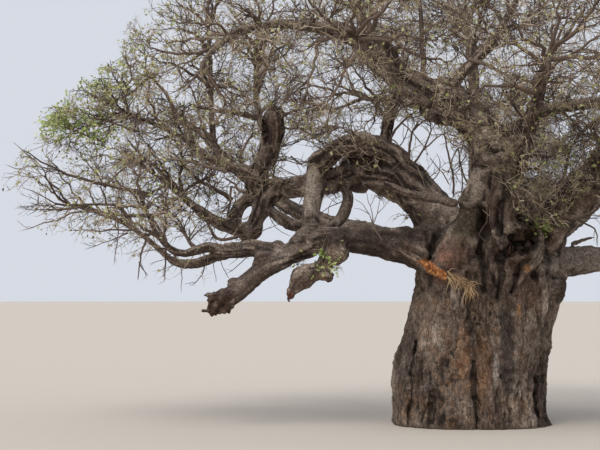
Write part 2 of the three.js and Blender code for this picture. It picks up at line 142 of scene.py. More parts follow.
MASSES = [
    ["left_tip_mass", [-10.95, -0.6, 6.45], [1.45, 1.9, 1.25], 3],
    ["left_low_mass", [-8.8, -2.8, 5.75], [1.6, 1.8, 1.2], 8],
    ["left_mid_mass", [-9.5, 1.6, 8.0], [2.0, 2.4, 1.4], 13],
    ["left_top_mass", [-7.0, 0.8, 11.2], [1.75, 2.3, 1.3], 21],
    ["stump_mass", [-5.3, 2.4, 9.9], [1.9, 2.0, 1.25], 27],
    ["left_high_mass", [-6.5, -4.5, 9.2], [2.1, 2.6, 1.45], 34],
    ["left_back_mass", [-7.3, 5.8, 8.6], [2.7, 2.8, 1.8], 41],
    ["front_left_mass", [-3.0, -6.6, 9.5], [2.4, 2.4, 1.5], 46],
    ["front_mass", [1.5, -7.2, 9.2], [2.6, 2.3, 1.6], 55],
    ["front_right_mass", [5.9, -6.5, 8.8], [2.6, 2.6, 1.8], 62],
    ["top_left_mass", [-3.6, 0.0, 12.4], [2.9, 3.0, 1.45], 68],
    ["top_mass", [1.0, -2.4, 12.5], [2.7, 2.9, 1.5], 74],
    ["top_right_mass", [5.0, 0.0, 11.6], [2.7, 3.0, 1.6], 83],
    ["top_back_mass", [0.3, 4.4, 12.0], [3.1, 2.8, 1.6], 89],
    ["right_upper_mass", [8.8, -2.4, 8.9], [2.6, 2.8, 1.7], 95],
    ["right_tip_mass", [10.0, 1.6, 6.5], [2.3, 2.5, 1.45], 101],
    ["right_back_mass", [6.9, 5.5, 8.9], [2.9, 2.8, 1.9], 108],
    ["back_mass", [2.4, 9.0, 9.1], [2.9, 2.5, 1.8], 117],
    ["back_left_mass", [-3.0, 8.7, 9.9], [2.7, 2.5, 1.6], 124],
]
CELL = 0.047      # spacing of the bark mesh's points


# ---------------------------------------------------------------------------
# small maths
# ---------------------------------------------------------------------------
def unit(v):
    return v / np.maximum(np.linalg.norm(v, axis=-1, keepdims=True), 1e-9)


def smooth(a, b, x):
    t = np.clip((x - a) / (b - a), 0.0, 1.0)
    return t * t * (3 - 2 * t)


def hash_cells(i, seed):
    x = (i[..., 0] * 374761393 + i[..., 1] * 668265263 + i[..., 2] * 1440662683 + seed * 1274126177) & 0xFFFFFFFF
    x = ((x ^ (x >> 13)) * 1274126177) & 0xFFFFFFFF
    x = ((x ^ (x >> 15)) * 2246822519) & 0xFFFFFFFF
    return (x ^ (x >> 16)) / 4294967295.0


def noise(p, seed=0):
    """smooth noise, about -1 to 1"""
    i = np.floor(p).astype(np.int64)
    f = p - i
    u = f * f * f * (f * (f * 6 - 15) + 10)
    out = np.zeros(len(p))
    for dx in (0, 1):
        wx = u[:, 0] if dx else 1 - u[:, 0]
        for dy in (0, 1):
            wy = u[:, 1] if dy else 1 - u[:, 1]
            for dz in (0, 1):
                wz = u[:, 2] if dz else 1 - u[:, 2]
                out += (hash_cells(i + np.array((dx, dy, dz)), seed) * 2 - 1) * wx * wy * wz
    return out * 1.35


def fbm(p, octaves=3, seed=0, fall=0.5):
    out, amp, tot = 0.0, 1.0, 0.0
    for k in range(octaves):
        out = out + amp * noise(p * (2.03 ** k) + 17.3 * k, seed + 31 * k)
        tot += amp
        amp *= fall
    return out / tot


def cells(p, seed=0):
    """distance to the nearest of a jittered set of points, one in each unit cell"""
    i = np.floor(p).astype(np.int64)
    best = np.full(len(p), 9.0)
    for dx in (-1, 0, 1):
        for dy in (-1, 0, 1):
            for dz in (-1, 0, 1):
                c = i + np.array((dx, dy, dz))
                j = np.stack([hash_cells(c, seed + 5 * k) for k in range(3)], -1)
                best = np.minimum(best, ((c + j - p) ** 2).sum(-1))
    return np.sqrt(best)


def bezier_chain(pts, step):
    """points evenly spaced along joined cubic Bezier curves"""
    pts = np.array(pts, float)
    raw = []
    for k in range(0, len(pts) - 1, 3):
        t = np.linspace(0, 1, 40)[:, None]
        a, b, c, d = pts[k:k + 4]
        raw.append((1 - t) ** 3 * a + 3 * (1 - t) ** 2 * t * b + 3 * (1 - t) * t * t * c + t ** 3 * d)
    raw = np.concatenate(raw)
    s = np.concatenate([[0], np.cumsum(np.linalg.norm(np.diff(raw, axis=0), axis=1))])
    n = max(4, int(round(s[-1] / step)))
    u = np.linspace(0, s[-1], n + 1)
    return np.stack([np.interp(u, s, raw[:, k]) for k in range(3)], 1), u


# ---------------------------------------------------------------------------
# limbs as chains of short tapering pieces
# ---------------------------------------------------------------------------
LUMPY = {  # the spur under the broken bough swells and narrows: points with a radius each
    "hanging_spur": [(-3.60, -1.30, 4.74, 0.30), (-3.68, -1.45, 4.52, 0.285), (-3.74, -1.50, 4.32, 0.265), (-3.95, -1.50, 4.12, 0.17), (-4.15, -1.50, 3.98, 0.20)],
    "hanging_tip": [(-4.10, -1.50, 3.99, 0.20), (-4.28, -1.52, 3.90, 0.27), (-4.45, -1.54, 3.79, 0.31), (-4.62, -1.56, 3.60, 0.20), (-4.74, -1.58, 3.46, 0.115), (-4.80, -1.60, 3.30, 0.095), (-4.81, -1.60, 3.20, 0.065)],
}
chains = {}
for li, (name, pts, r0, r1) in enumerate(LIMBS):
    c, s = bezier_chain(pts, 0.14)
    t = s / s[-1]
    flare = 2.6 if name == "low_bough" else 1.6
    r = r1 + (r0 - r1) * (1 - t) ** flare
    if name in LUMPY:
        q = np.array(LUMPY[name])
        sq = np.concatenate([[0], np.cumsum(np.linalg.norm(np.diff(q[:, :3], axis=0), axis=1))])
        s = np.linspace(0, sq[-1], 9)
        c = np.stack([np.interp(s, sq, q[:, k]) for k in range(3)], 1)
        r = np.interp(s, sq, q[:, 3])
        t = s / s[-1]
    if name == "broken_bough":
        r = r * (0.92 - 0.22 * t)
    # the curves sway and swell a little, as old boughs do
    q = np.stack([s * 0.9 + 7.7 * li, np.full(len(s), 3.1 * li), np.zeros(len(s))], 1)
    r = r * (1 + 0.07 * noise(q, 5) + 0.035 * noise(q * 3.1, 9))
    wob = np.stack([noise(q * 1.1 + 5.0 * k, 40 + k) for k in range(3)], 1)
    fade = (np.minimum(t, 1 - t) * 4).clip(0, 1)[:, None]
    c = c + wob * fade * (0.10 * r[:, None] + 0.018)
    chains[name] = (c, r, s)

# lumps, knots and torn ends that belong to no limb: centre, radius
KNOBS = [
    [(2.06, -0.35, 3.74), 0.37], [(2.12, 0.0, 3.45), 0.30], [(1.93, -0.95, 3.62), 0.30],
    [(1.75, -0.9, 4.25), 0.34], [(-3.86, -1.60, 3.86), 0.165], [(-3.55, -1.42, 4.42), 0.26],
    [(-4.50, -1.50, 3.90), 0.22], [(-4.28, -1.15, 4.78), 0.34], [(-4.25, -0.75, 5.02), 0.26],
    [(-5.72, 0.3, 5.12), 0.22], [(-5.62, 0.46, 6.35), 0.25], [(-5.24, 0.4, 7.75), 0.28],
    [(0.52, -0.75, 6.75), 0.50], [(-0.9, -0.4, 8.45), 0.50], [(-5.45, -1.3, 4.22), 0.28],
    [(-6.48, -1.58, 3.28), 0.25], [(1.84, -1.22, 4.12), 0.24],
    [(-6.22, -1.52, 3.66), 0.15], [(-5.1, -1.2, 4.62), 0.16],
]
SMALL_LIMBS = [  # a rotten broken stump over the fork, the torn ridge by the wound, a splinter on the right bough, folds down the trunk
    [[(1.12, -0.75, 4.40), (1.06, -1.30, 4.62), (1.02, -1.62, 4.72)], [0.52, 0.53, 0.52]],
    [[(-1.35, -1.48, 4.08), (-1.55, -1.60, 4.25), (-2.0, -1.66, 4.50), (-2.25, -1.68, 4.57), (-2.48, -1.66, 4.72)], [0.15, 0.11, 0.085, 0.075, 0.10]],
    [[(2.62, -0.15, 4.72), (2.95, -0.2, 4.84), (3.20, -0.25, 4.90)], [0.07, 0.05, 0.025]],
    [[(0.52, -1.36, 4.45), (0.70, -1.46, 4.0), (0.56, -1.50, 3.4), (0.62, -1.54, 2.4)], [0.20, 0.23, 0.13, 0.05]],
    [[(1.58, -1.32, 4.57), (1.34, -1.50, 4.21), (1.10, -1.56, 3.86), (0.86, -1.54, 3.4)], [0.17, 0.19, 0.13, 0.05]],
    [[(1.70, -1.10, 4.15), (1.66, -1.26, 3.80), (1.72, -1.24, 3.4), (1.62, -1.28, 2.3)], [0.24, 0.18, 0.17, 0.05]],
    [[(0.10, -1.35, 4.25), (0.20, -1.46, 3.8), (0.08, -1.52, 3.2), (0.16, -1.54, 2.6)], [0.20, 0.19, 0.13, 0.05]],
    [[(-0.55, -1.50, 3.70), (-0.62, -1.56, 3.2), (-0.55, -1.52, 2.6)], [0.16, 0.13, 0.05]],
    [[(1.34, -1.90, 4.40), (1.48, -1.86, 4.62), (1.50, -1.80, 4.86), (1.34, -1.78, 5.08)], [0.10, 0.12, 0.12, 0.08]],
    [[(0.62, -1.84, 4.98), (0.86, -1.90, 5.10), (1.10, -1.88, 5.12)], [0.11, 0.10, 0.07]],
    [[(0.66, -1.96, 4.40), (0.56, -1.94, 4.62), (0.58, -1.90, 4.86)], [0.10, 0.12, 0.10]],
    [[from_frame(386, 184, -0.72), from_frame(408, 193.5, -0.95), from_frame(425, 196, -1.14), from_frame(440, 199, -1.46), from_frame(455, 204, -1.82), from_frame(470, 207, -2.04), from_frame(485, 206, -2.08)], [0.09, 0.105, 0.11, 0.115, 0.12, 0.12, 0.12]],
    [[(0.22, -0.85, 4.5), (0.18, -0.82, 5.2), (0.18, -0.78, 5.95)], [0.42, 0.38, 0.25]],
    [[from_frame(272, 160, 0.40), from_frame(272, 148, 0.36), from_frame(271.5, 134, 0.30), from_frame(271, 121, 0.26)], [0.14, 0.20, 0.25, 0.27]],
    [[from_frame(503, 226, -0.55), from_frame(513, 212, -0.60), from_frame(521, 200, -0.80)], [0.42, 0.36, 0.26]],
    [[from_frame(216, 297.5, -1.66), from_frame(208, 295.5, -1.72), from_frame(203.5, 295.5, -1.74)], [0.13, 0.085, 0.03]],
    [[from_frame(217, 308, -1.62), from_frame(209, 310, -1.68), from_frame(202.5, 311, -1.70)], [0.15, 0.11, 0.05]],
    [[from_frame(497, 244, -1.60), from_frame(495.5, 237, -1.86), from_frame(494, 231, -2.0)], [0.12, 0.11, 0.07]],
]
segs = []          # ax ay az bx by bz ra rb limb s
for li, (name, *_r) in enumerate(LIMBS):
    c, r, s = chains[name]
    for k in range(len(c) - 1):
        segs.append([*c[k], *c[k + 1], r[k], r[k + 1], li, s[k]])
for k, (c, r) in enumerate(KNOBS):
    segs.append([*c, c[0] + 0.01, c[1], c[2], r, r, 100 + k, 0.0])
for k, (c, r) in enumerate(SMALL_LIMBS):
    for j in range(len(c) - 1):
        segs.append([*c[j], *c[j + 1], r[j], r[j + 1], 80 + k, 0.3 * j])
segs = np.array(segs)
SEG_MID = (segs[:, 0:3] + segs[:, 3:6]) / 2
SEG_REACH = np.linalg.norm(segs[:, 3:6] - segs[:, 0:3], axis=1) / 2 + np.maximum(segs[:, 6], segs[:, 7])


def ring_table(z):
    t = np.clip(z, 0, 5.4)
    return [np.interp(t, TRUNK_RINGS[:, 0], TRUNK_RINGS[:, k]) for k in (1, 2, 3, 4)]


CREASES = [  # foot x, top x, foot z, top z, half width, depth: folds in the front of the trunk
    [-0.06, -0.33, -0.1, 3.05, 0.045, 0.12], [0.42, 0.36, -0.1, 2.2, 0.06, 0.13], [0.72, 0.74, -0.1, 0.85, 0.05, 0.13],
    [-1.72, -1.56, -0.1, 2.3, 0.06, 0.20], [-1.15, -1.22, -0.1, 0.95, 0.045, 0.12], [1.52, 1.44, -0.1, 1.5, 0.07, 0.20],
    [0.30, 0.10, 2.0, 3.6, 0.08, 0.20], [-0.30, 0.02, 2.6, 3.5, 0.07, 0.18], [0.62, 0.50, 2.6, 4.0, 0.07, 0.18],
    [1.15, 1.28, 2.1, 3.7, 0.07, 0.14], [1.62, 1.75, 2.5, 3.5, 0.08, 0.16],
]


def trunk_field(p):
    x, y, z = p[:, 0], p[:, 1], p[:, 2]
    left, right, front, back = ring_table(z)
    cx, cy, a, b = (left + right) / 2, (front + back) / 2, (right - left) / 2, (back - front) / 2
    dx, dy = (x - cx) / a, (y - cy) / b
    q = np.hypot(dx, dy)
    ang = np.degrees(np.arctan2(dy, dx))
    lobe = 0.0
    for at, width, depth in TRUNK_LOBES:
        d = (ang - at + 540) % 360 - 180
        lobe = lobe + depth * np.exp(-d * d / (width * width))
    foot = 0.25 + 0.85 * np.exp(-np.maximum(z, 0) / 0.8) + 0.30 * np.exp(-np.maximum(z, 0) / 3.5)
    f = (q - 1 - (lobe - 0.09) * foot) * (a + b) / 2 * 0.93
    face = smooth(-0.2, -0.8, y)
    for x0, x1, z0, z1, w, depth in CREASES:
        t = np.clip((z - z0) / (z1 - z0), 0, 1)
        xc = x0 + (x1 - x0) * t + 0.035 * np.sin(5.1 * z + 9 * x0) + 0.015 * np.sin(13 * z + 4 * x0)
        ends = smooth(z1 + 0.15, z1 - 0.35, z) * smooth(z0 - 0.15, z0 + 0.35, z)
        f = f + face * ends * depth * np.exp(-((x - xc) / w) ** 2)
    top = z - 4.72 + 0.12 * ((x - 0.4) ** 2 + y ** 2)
    k = 0.35
    h = np.clip(0.5 - 0.5 * (top - f) / k, 0, 1)
    return top * (1 - h) + f * h + k * h * (1 - h)


HOLLOWS = [  # middle, half sizes, depth: rotted holes and dark folds
    [(1.12, -2.00, 4.78), (0.30, 0.45, 0.26), 0.05], [(1.34, -1.50, 5.20), (0.16, 0.30, 0.14), 0.16],
    [(1.96, -1.20, 3.83), (0.13, 0.25, 0.11), 0.20], [(0.70, -2.00, 4.36), (0.14, 0.25, 0.10), 0.16],
    [(0.38, -1.62, 3.75), (0.08, 0.22, 0.42), 0.16], [(-3.72, -1.82, 3.70), (0.10, 0.14, 0.09), 0.10],
    [(0.92, -1.72, 3.72), (0.07, 0.22, 0.42), 0.14], [(1.42, -1.62, 3.60), (0.07, 0.25, 0.45), 0.15],
    [(-3.02, -0.12, 6.98), (0.60, 0.40, 0.13), 0.30], [(0.20, -1.45, 5.35), (0.075, 0.40, 0.85), 0.24],
]
CAVITIES = [  # middle, half sizes: holes that go deep
    [(1.04, -2.00, 4.72), (0.40, 0.66, 0.31)], [(0.74, -2.05, 4.46), (0.20, 0.44, 0.15)], [(1.34, -2.0, 4.92), (0.13, 0.40, 0.13)], [(0.24, -1.45, 4.95), (0.07, 0.26, 0.34)], [from_frame(205, 303, -1.70), (0.17, 0.45, 0.085)], [from_frame(263.5, 132, 0.0), (0.085, 0.30, 0.42)],
]


SHARDS = [  # wood left standing in the rotten hollow
    [(1.00, -1.72, 4.40), (1.05, -1.86, 4.66), 0.10, 0.035], [(1.24, -1.62, 4.46), (1.20, -1.74, 4.86), 0.07, 0.03],
    [(0.82, -1.66, 4.52), (0.80, -1.76, 4.90), 0.07, 0.03], [(1.02, -1.50, 5.05), (0.98, -1.78, 4.84), 0.07, 0.03],
]


GASHES = [  # pixels down a fold, its half width there, depth: folds between the feet of the boughs, cut in and darkened with painted shade
    [[(430, 258), (435, 244), (440, 233), (449, 223), (455, 213), (461, 207)], 3.0, 0.24],
    [[(480, 208), (484, 222), (485, 236), (481, 252), (484, 268), (485, 290)], 3.2, 0.24],
    [[(425, 215), (427, 232), (430, 248)], 2.2, 0.12], [[(408, 206), (412, 222), (413, 236)], 2.4, 0.08],
    [[(460, 267), (470, 262), (480, 254)], 2.2, 0.10], [[(498, 258), (501, 276), (497, 300)], 2.6, 0.14],
    [[(522, 262), (518, 276), (512, 290)], 2.2, 0.12], [[(501, 200), (499, 216), (501, 234)], 2.4, 0.16],
    [[(467, 303), (471, 325), (474, 350), (474, 375), (475, 400), (476, 428)], 1.4, 0.12], [[(433, 384), (434, 400), (433, 418)], 1.2, 0.09],
    [[(499, 386), (500, 404), (500, 424)], 1.3, 0.10], [[(447, 330), (449, 348), (446, 366)], 1.1, 0.06], [[(521, 392), (523, 410), (522, 424)], 1.2, 0.07],
    [[(545, 250), (548, 262), (543, 276)], 2.2, 0.10], [[(467, 272), (470, 292), (468, 320)], 2.4, 0.12],
]


def gash_depth(p):
    """how deep the folds are at each point, and how much painted shade darkens them"""
    u, v = to_frame(p)
    q = np.stack([u, v], 1)
    q = q + 1.6 * np.stack([noise(p / 0.22, 91), noise(p / 0.22, 92)], 1)
    deep, dark = np.zeros(len(p)), np.zeros(len(p))
    for pts, w, depth in GASHES:
        pts = np.array(pts, float)
        best = np.full(len(p), 1e9)
        for a, b in zip(pts[:-1], pts[1:]):
            t = np.clip(((q - a) * (b - a)).sum(1) / ((b - a) ** 2).sum(), 0, 1)
            best = np.minimum(best, np.linalg.norm(q - a - t[:, None] * (b - a), axis=1))
        deep = np.maximum(deep, depth * np.exp(-(best / w) ** 2))
        dark = np.maximum(dark, min(1.0, depth / 0.16) * np.exp(-(best / (w * 1.15)) ** 2))
    face = smooth(-0.25, -0.75, p[:, 1])
    return deep * face, dark * face


def limb_distances(p, near):
    """distance to each short piece, with where along it the nearest point is"""
    a, ab = segs[near, 0:3], segs[near, 3:6] - segs[near, 0:3]
    ap = p[:, None, :] - a[None]
    t = np.clip((ap * ab[None]).sum(-1) / (ab * ab).sum(-1)[None], 0, 1)
    d = np.linalg.norm(ap - t[..., None] * ab[None], axis=-1)
    return d - (segs[near, 6][None] * (1 - t) + segs[near, 7][None] * t), t


def body_field(p, near):
    """the whole woody body: negative inside"""
    f = trunk_field(p) if (p[:, 2].min() < 6.4 and abs(p[:, 0]).min() < 3.6 and abs(p[:, 1]).min() < 3.2) else np.full(len(p), 9.0)
    if len(near):
        d, _t = limb_distances(p, near)
        ids = segs[near, 8]
        rows = np.arange(len(p))
        for li in np.unique(ids):
            m = np.flatnonzero(ids == li)
            j = m[d[:, m].argmin(1)]
            g = d[rows, j]
            k = (0.06 if li >= 80 else 0.05) + 0.24 * np.minimum(segs[near[j], 6], 0.7)
            h = np.clip(0.5 + 0.5 * (f - g) / k, 0, 1)
            f = f * (1 - h) + g * h - k * h * (1 - h)
    if p[:, 1].min() < 0 and abs(p[:, 0]).min() < 2.6 and p[:, 2].min() < 6.2:
        f = f + gash_depth(p)[0]
    for c, half, depth in HOLLOWS:
        e = (((p - np.array(c)) / np.array(half)) ** 2).sum(-1)
        f = f + depth * np.exp(-e * 1.3)
    for c, half in CAVITIES:
        q = (p - np.array(c)) / np.array(half)
        inside = np.linalg.norm(q, axis=-1)
        near_it = inside < 2.5
        if near_it.any():
            g = (1 - inside) * min(half)
            g[near_it] += 0.05 * noise(p[near_it] / 0.13, 47) + 0.02 * noise(p[near_it] / 0.06, 48)
            k = 0.05
            h = np.clip(0.5 + 0.5 * (g - f) / k, 0, 1)
            f = f * (1 - h) + g * h + k * h * (1 - h)
    for a, b, ra, rb in SHARDS:
        a, b = np.array(a), np.array(b)
        t = np.clip(((p - a) * (b - a)).sum(-1) / ((b - a) ** 2).sum(), 0, 1)
        g = np.linalg.norm((p - a - t[:, None] * (b - a)) * np.array((1.0, 0.7, 1.0)), axis=-1) - (ra + (rb - ra) * t)
        h = np.clip(0.5 + 0.5 * (f - g) / 0.03, 0, 1)
        f = f * (1 - h) + g * h - 0.03 * h * (1 - h)
    return f


# ---------------------------------------------------------------------------
# the bark mesh: a net drawn over the body's surface
# ---------------------------------------------------------------------------
B = 16
side = B * CELL
blocks = set()


def mark(lo, hi):
    i0, i1 = np.floor(np.array(lo) / side).astype(int), np.floor(np.array(hi) / side).astype(int)
    for i in range(i0[0], i1[0] + 1):
        for j in range(i0[1], i1[1] + 1):
            for k in range(max(i0[2], -1), i1[2] + 1):
                blocks.add((i, j, k))


mark((-2.5, -2.3, -0.01), (2.7, 2.3, 5.2))
for m, reach in zip(SEG_MID, SEG_REACH):
    mark(m - reach - 0.12, m + reach + 0.12)

OFF = 4096
CORNERS = np.array([(0, 0, 0), (1, 0, 0), (0, 1, 0), (1, 1, 0), (0, 0, 1), (1, 0, 1), (0, 1, 1), (1, 1, 1)])
EDGES = [(0, 1), (2, 3), (4, 5), (6, 7), (0, 2), (1, 3), (4, 6), (5, 7), (0, 4), (1, 5), (2, 6), (3, 7)]


def cell_id(i):
    return ((i[:, 0] + OFF) * 8192 + (i[:, 1] + OFF)) * 8192 + (i[:, 2] + OFF)


ids, verts, quads = [], [], []
grid = np.stack(np.meshgrid(*[np.arange(B + 1)] * 3, indexing="ij"), -1).reshape(-1, 3)
for blk in sorted(blocks):
    base = np.array(blk) * B
    p = (base + grid) * CELL
    p[:, 2] += 1e-4
    mid, half = p.mean(0), side / 2
    near = np.where(np.linalg.norm(SEG_MID - mid, axis=1) < SEG_REACH + half * 1.75 + 0.30)[0]
    f = body_field(p, near)
    f = np.maximum(f, -p[:, 2])                     # the flat cut at ground level
    if f.min() > 0 or f.max() < 0:
        continue
    F = f.reshape(B + 1, B + 1, B + 1)
    S = F < 0
    c8 = np.stack([F[dx:dx + B, dy:dy + B, dz:dz + B] for dx, dy, dz in CORNERS], -1).reshape(-1, 8)
    s8 = c8 < 0
    act = np.where(s8.any(1) & ~s8.all(1))[0]
    if not len(act):
        continue
    loc = np.stack(np.unravel_index(act, (B, B, B)), -1)
    v8 = c8[act]
    acc, cnt = np.zeros((len(act), 3)), np.zeros(len(act))
    for a, b in EDGES:
        m = (v8[:, a] < 0) != (v8[:, b] < 0)
        t = v8[m, a] / (v8[m, a] - v8[m, b])
        acc[m] += CORNERS[a] + t[:, None] * (CORNERS[b] - CORNERS[a])
        cnt[m] += 1
    ids.append(cell_id(base + loc))
    verts.append((base + loc + acc / cnt[:, None]) * CELL)
    for ax in range(3):
        d = [0, 0, 0]
        d[ax] = 1
        s0 = S[:B, :B, :B]
        s1 = S[d[0]:B + d[0], d[1]:B + d[1], d[2]:B + d[2]]
        e = np.stack(np.where(s0 != s1), -1)
        if len(e):
            u, w = (ax + 1) % 3, (ax + 2) % 3
            du, dw = np.zeros(3, int), np.zeros(3, int)
            du[u], dw[w] = 1, 1
            g = base + e
            q = np.stack([cell_id(g - du - dw), cell_id(g - dw), cell_id(g), cell_id(g - du)], 1)
            flip = ~s0[e[:, 0], e[:, 1], e[:, 2]]
            q[flip] = q[flip][:, ::-1]
            quads.append(q)
ids, V, Q = np.concatenate(ids), np.concatenate(verts), np.concatenate(quads)
order = np.argsort(ids)
ids, V = ids[order], V[order]
pos = np.searchsorted(ids, Q).clip(0, len(ids) - 1)
ok = (ids[pos] == Q).all(1)
Q = pos[ok]
print("bark net:", len(V), "points", len(Q), "quads", (~ok).sum(), "dropped")
V[:, 2] = np.maximum(V[:, 2], 0.0)


def point_normals(V, Q):
    n = np.cross(V[Q[:, 2]] - V[Q[:, 0]], V[Q[:, 3]] - V[Q[:, 1]])
    out = np.zeros_like(V)
    for k in range(4):
        for ax in range(3):
            out[:, ax] += np.bincount(Q[:, k], n[:, ax], len(V))
    return unit(out)


def relax(V, Q, rounds, weight):
    a = np.concatenate([Q[:, k] for k in range(4)])
    b = np.concatenate([Q[:, (k + 1) % 4] for k in range(4)])
    cnt = np.bincount(a, minlength=len(V)) + np.bincount(b, minlength=len(V))
    for _ in range(rounds):
        s = np.stack([np.bincount(a, V[b, ax], len(V)) + np.bincount(b, V[a, ax], len(V)) for ax in range(3)], 1)
        V = V + weight * (s / np.maximum(cnt, 1)[:, None] - V)
    return V


V = relax(V, Q, 2, 0.45)
V[:, 2] = np.maximum(V[:, 2], 0.0)
N = point_normals(V, Q)

# where each point lies: on the trunk or on which limb, how far along and round it
wt = np.zeros(len(V))
limb_s, limb_r, limb_a, limb_n = np.zeros(len(V)), np.ones(len(V)), np.zeros(len(V)), np.zeros(len(V), int)
bl = np.floor(V / side).astype(int)
key = (bl[:, 0] + 500) * 1000000 + (bl[:, 1] + 500) * 1000 + bl[:, 2] + 10
so = np.argsort(key, kind="stable")
cuts = np.flatnonzero(np.diff(key[so])) + 1
for grp in np.split(so, cuts):
    p = V[grp]
    mid = p.mean(0)
    near = np.where(np.linalg.norm(SEG_MID - mid, axis=1) < SEG_REACH + side)[0]
    ft = trunk_field(p)
    if not len(near):
        wt[grp] = 1
        continue
    d, t = limb_distances(p, near)
    j = d.argmin(1)
    r = np.arange(len(p))
    sj = near[j]
    tj = t[r, j]
    wt[grp] = smooth(-0.18, 0.10, d[r, j] - ft)
    ax = segs[sj, 3:6] - segs[sj, 0:3]
    length = np.linalg.norm(ax, axis=1)
    limb_s[grp] = segs[sj, 9] + tj * length
    limb_r[grp] = segs[sj, 6]
    limb_n[grp] = segs[sj, 8].astype(int)
    axu = unit(ax)
    c = segs[sj, 0:3] + tj[:, None] * ax
    rad = p - c
    e1 = unit(np.cross(axu, np.array((0.31, 0.9, 0.27))))
    e2 = np.cross(axu, e1)
    limb_a[grp] = np.arctan2((rad * e2).sum(1), (rad * e1).sum(1))

x, y, z = V.T
wt = np.where(z > 5.6, 0.0, wt)
wl = 1 - wt

# relief of the trunk: long lumps, torn upright fibres and pits
warp = np.stack([noise(V * 1.3, 60 + k) for k in range(3)], 1)
Pv = V + 0.10 * warp
tall = Pv * np.array((1 / 0.16, 1 / 0.16, 1 / 0.40))
rid = 1 - np.abs(noise(tall, 3))
fine = 1 - np.abs(noise(Pv * np.array((1 / 0.08, 1 / 0.08, 1 / 0.16)), 4))
big = fbm(V * np.array((1.5, 1.5, 0.8)), 3, 7)
pits = cells((V + 0.05 * np.stack([noise(V / 0.16, 64 + k) for k in range(3)], 1)) * np.array((1 / 0.115, 1 / 0.115, 1 / 0.19)), 11)
pit = smooth(0.44, 0.16, pits) * smooth(-0.35, 0.25, noise(V * np.array((2.2, 2.2, 1.4)), 12))
rough = smooth(-0.4, 0.3, noise(V * np.array((0.9, 0.9, 0.7)), 15) + 0.35 * (z < 3.6))
d_trunk = 0.070 * big + (0.068 * (rid - 0.6) + 0.040 * (fine - 0.6) - 0.060 * pit) * (0.50 + 0.50 * rough)

# relief of the boughs: flutes along them, wrinkles across them and a few lumps
ca = np.stack([np.cos(limb_a), np.sin(limb_a), limb_s], 1)
idk = (limb_n * 13.7)[:, None]
flute = noise(ca * np.array((1.1, 1.1, 0.55)) + idk, 21)
wr = 1 - np.abs(noise(ca * np.array((1.5, 1.5, 9.0)) + idk + 0.35 * warp * 3, 22))
skin = 1 - np.abs(noise(Pv / 0.11, 23))
lump = fbm(V / 0.42, 2, 24)
stri = 1 - np.abs(noise(ca * np.array((2.6, 2.6, 1.15)) + idk + 0.9 * warp, 26))
rr = np.minimum(limb_r, 0.55)
fold = 1 - np.abs(noise(ca * np.array((1.7, 1.7, 0.8)) + idk + 0.5 * warp, 25))
d_limb = rr * (0.14 * flute + 0.13 * lump + 0.12 * (fold - 0.62)) + 0.030 * (wr - 0.6) * smooth(0.1, 0.4, rr) + 0.016 * (skin - 0.6) + 0.026 * (stri - 0.6) * smooth(0.08, 0.3, rr)
calm = np.ones(200)
for k, (nm, *_r) in enumerate(LIMBS):
    calm[k] = {"low_bough": 0.55, "broken_bough": 0.60, "link_upright": 0.6, "link_loop": 0.7, "right_bough": 0.75, "hanging_spur": 0.7, "arch_bough": 0.85}.get(nm, 1.0)
d_limb = d_limb * calm[limb_n]
# broken ends are splintered
SPLINTERS = [((-6.62, -1.6, 3.10), 0.50), ((-5.25, 0.4, 8.2), 0.36), ((-4.83, -1.6, 3.25), 0.22), ((-3.86, -1.5, 3.80), 0.20), ((-2.48, -1.66, 4.74), 0.17), ((1.02, -1.95, 4.74), 0.52)]
torn = np.zeros(len(V))
for c, rad in SPLINTERS:
    torn = np.maximum(torn, smooth(rad, rad * 0.45, np.linalg.norm(V - np.array(c), axis=1)))
d_torn = 0.11 * noise(V / 0.13, 27) + 0.06 * noise(V / 0.07, 28)
disp = wt * d_trunk + wl * d_limb + torn * d_torn
hollow = np.zeros(len(V))
for c, half, depth in HOLLOWS[1:9]:
    e = np.sqrt((((V - np.array(c)) / np.array(half)) ** 2).sum(-1))
    hollow = np.maximum(hollow, smooth(1.15, 0.55, e))
for c, half in CAVITIES:
    e = np.sqrt((((V - np.array(c)) / (np.array(half) * 1.06)) ** 2).sum(-1)) + 0.12 * noise(V / 0.10, 49)
    hollow = np.maximum(hollow, smooth(1.12, 0.90, e))
wound_at = smooth(1.25, 0.75, np.hypot((V[:, 0] + 1.16) / 0.46, (V[:, 2] - 4.06 + (V[:, 0] + 1.16) * 0.50) / 0.165)) * smooth(-0.8, -1.1, V[:, 1])
disp += wound_at * (0.035 * noise(V * np.array((9, 9, 22.0)), 33) - 0.035)
disp += hollow * (0.05 * noise(V / 0.12, 29) + 0.04 * noise(V / 0.07, 30))
disp *= smooth(0.0, 0.10, z)
V = V + N * disp[:, None]
V[:, 2] = np.maximum(V[:, 2], 0.0)
N = point_normals(V, Q)

# ---- colour of the bark -------------------------------------------------------
def srgb(r, g, b):
    c = np.array((r, g, b), float) / 255
    return np.where(c <= 0.04045, c / 12.92, ((c + 0.055) / 1.055) ** 2.4)


def paint(col, mask, to, amount=1.0):
    m = (np.clip(mask, 0, 1) * amount)[:, None]
    return col * (1 - m) + to * m


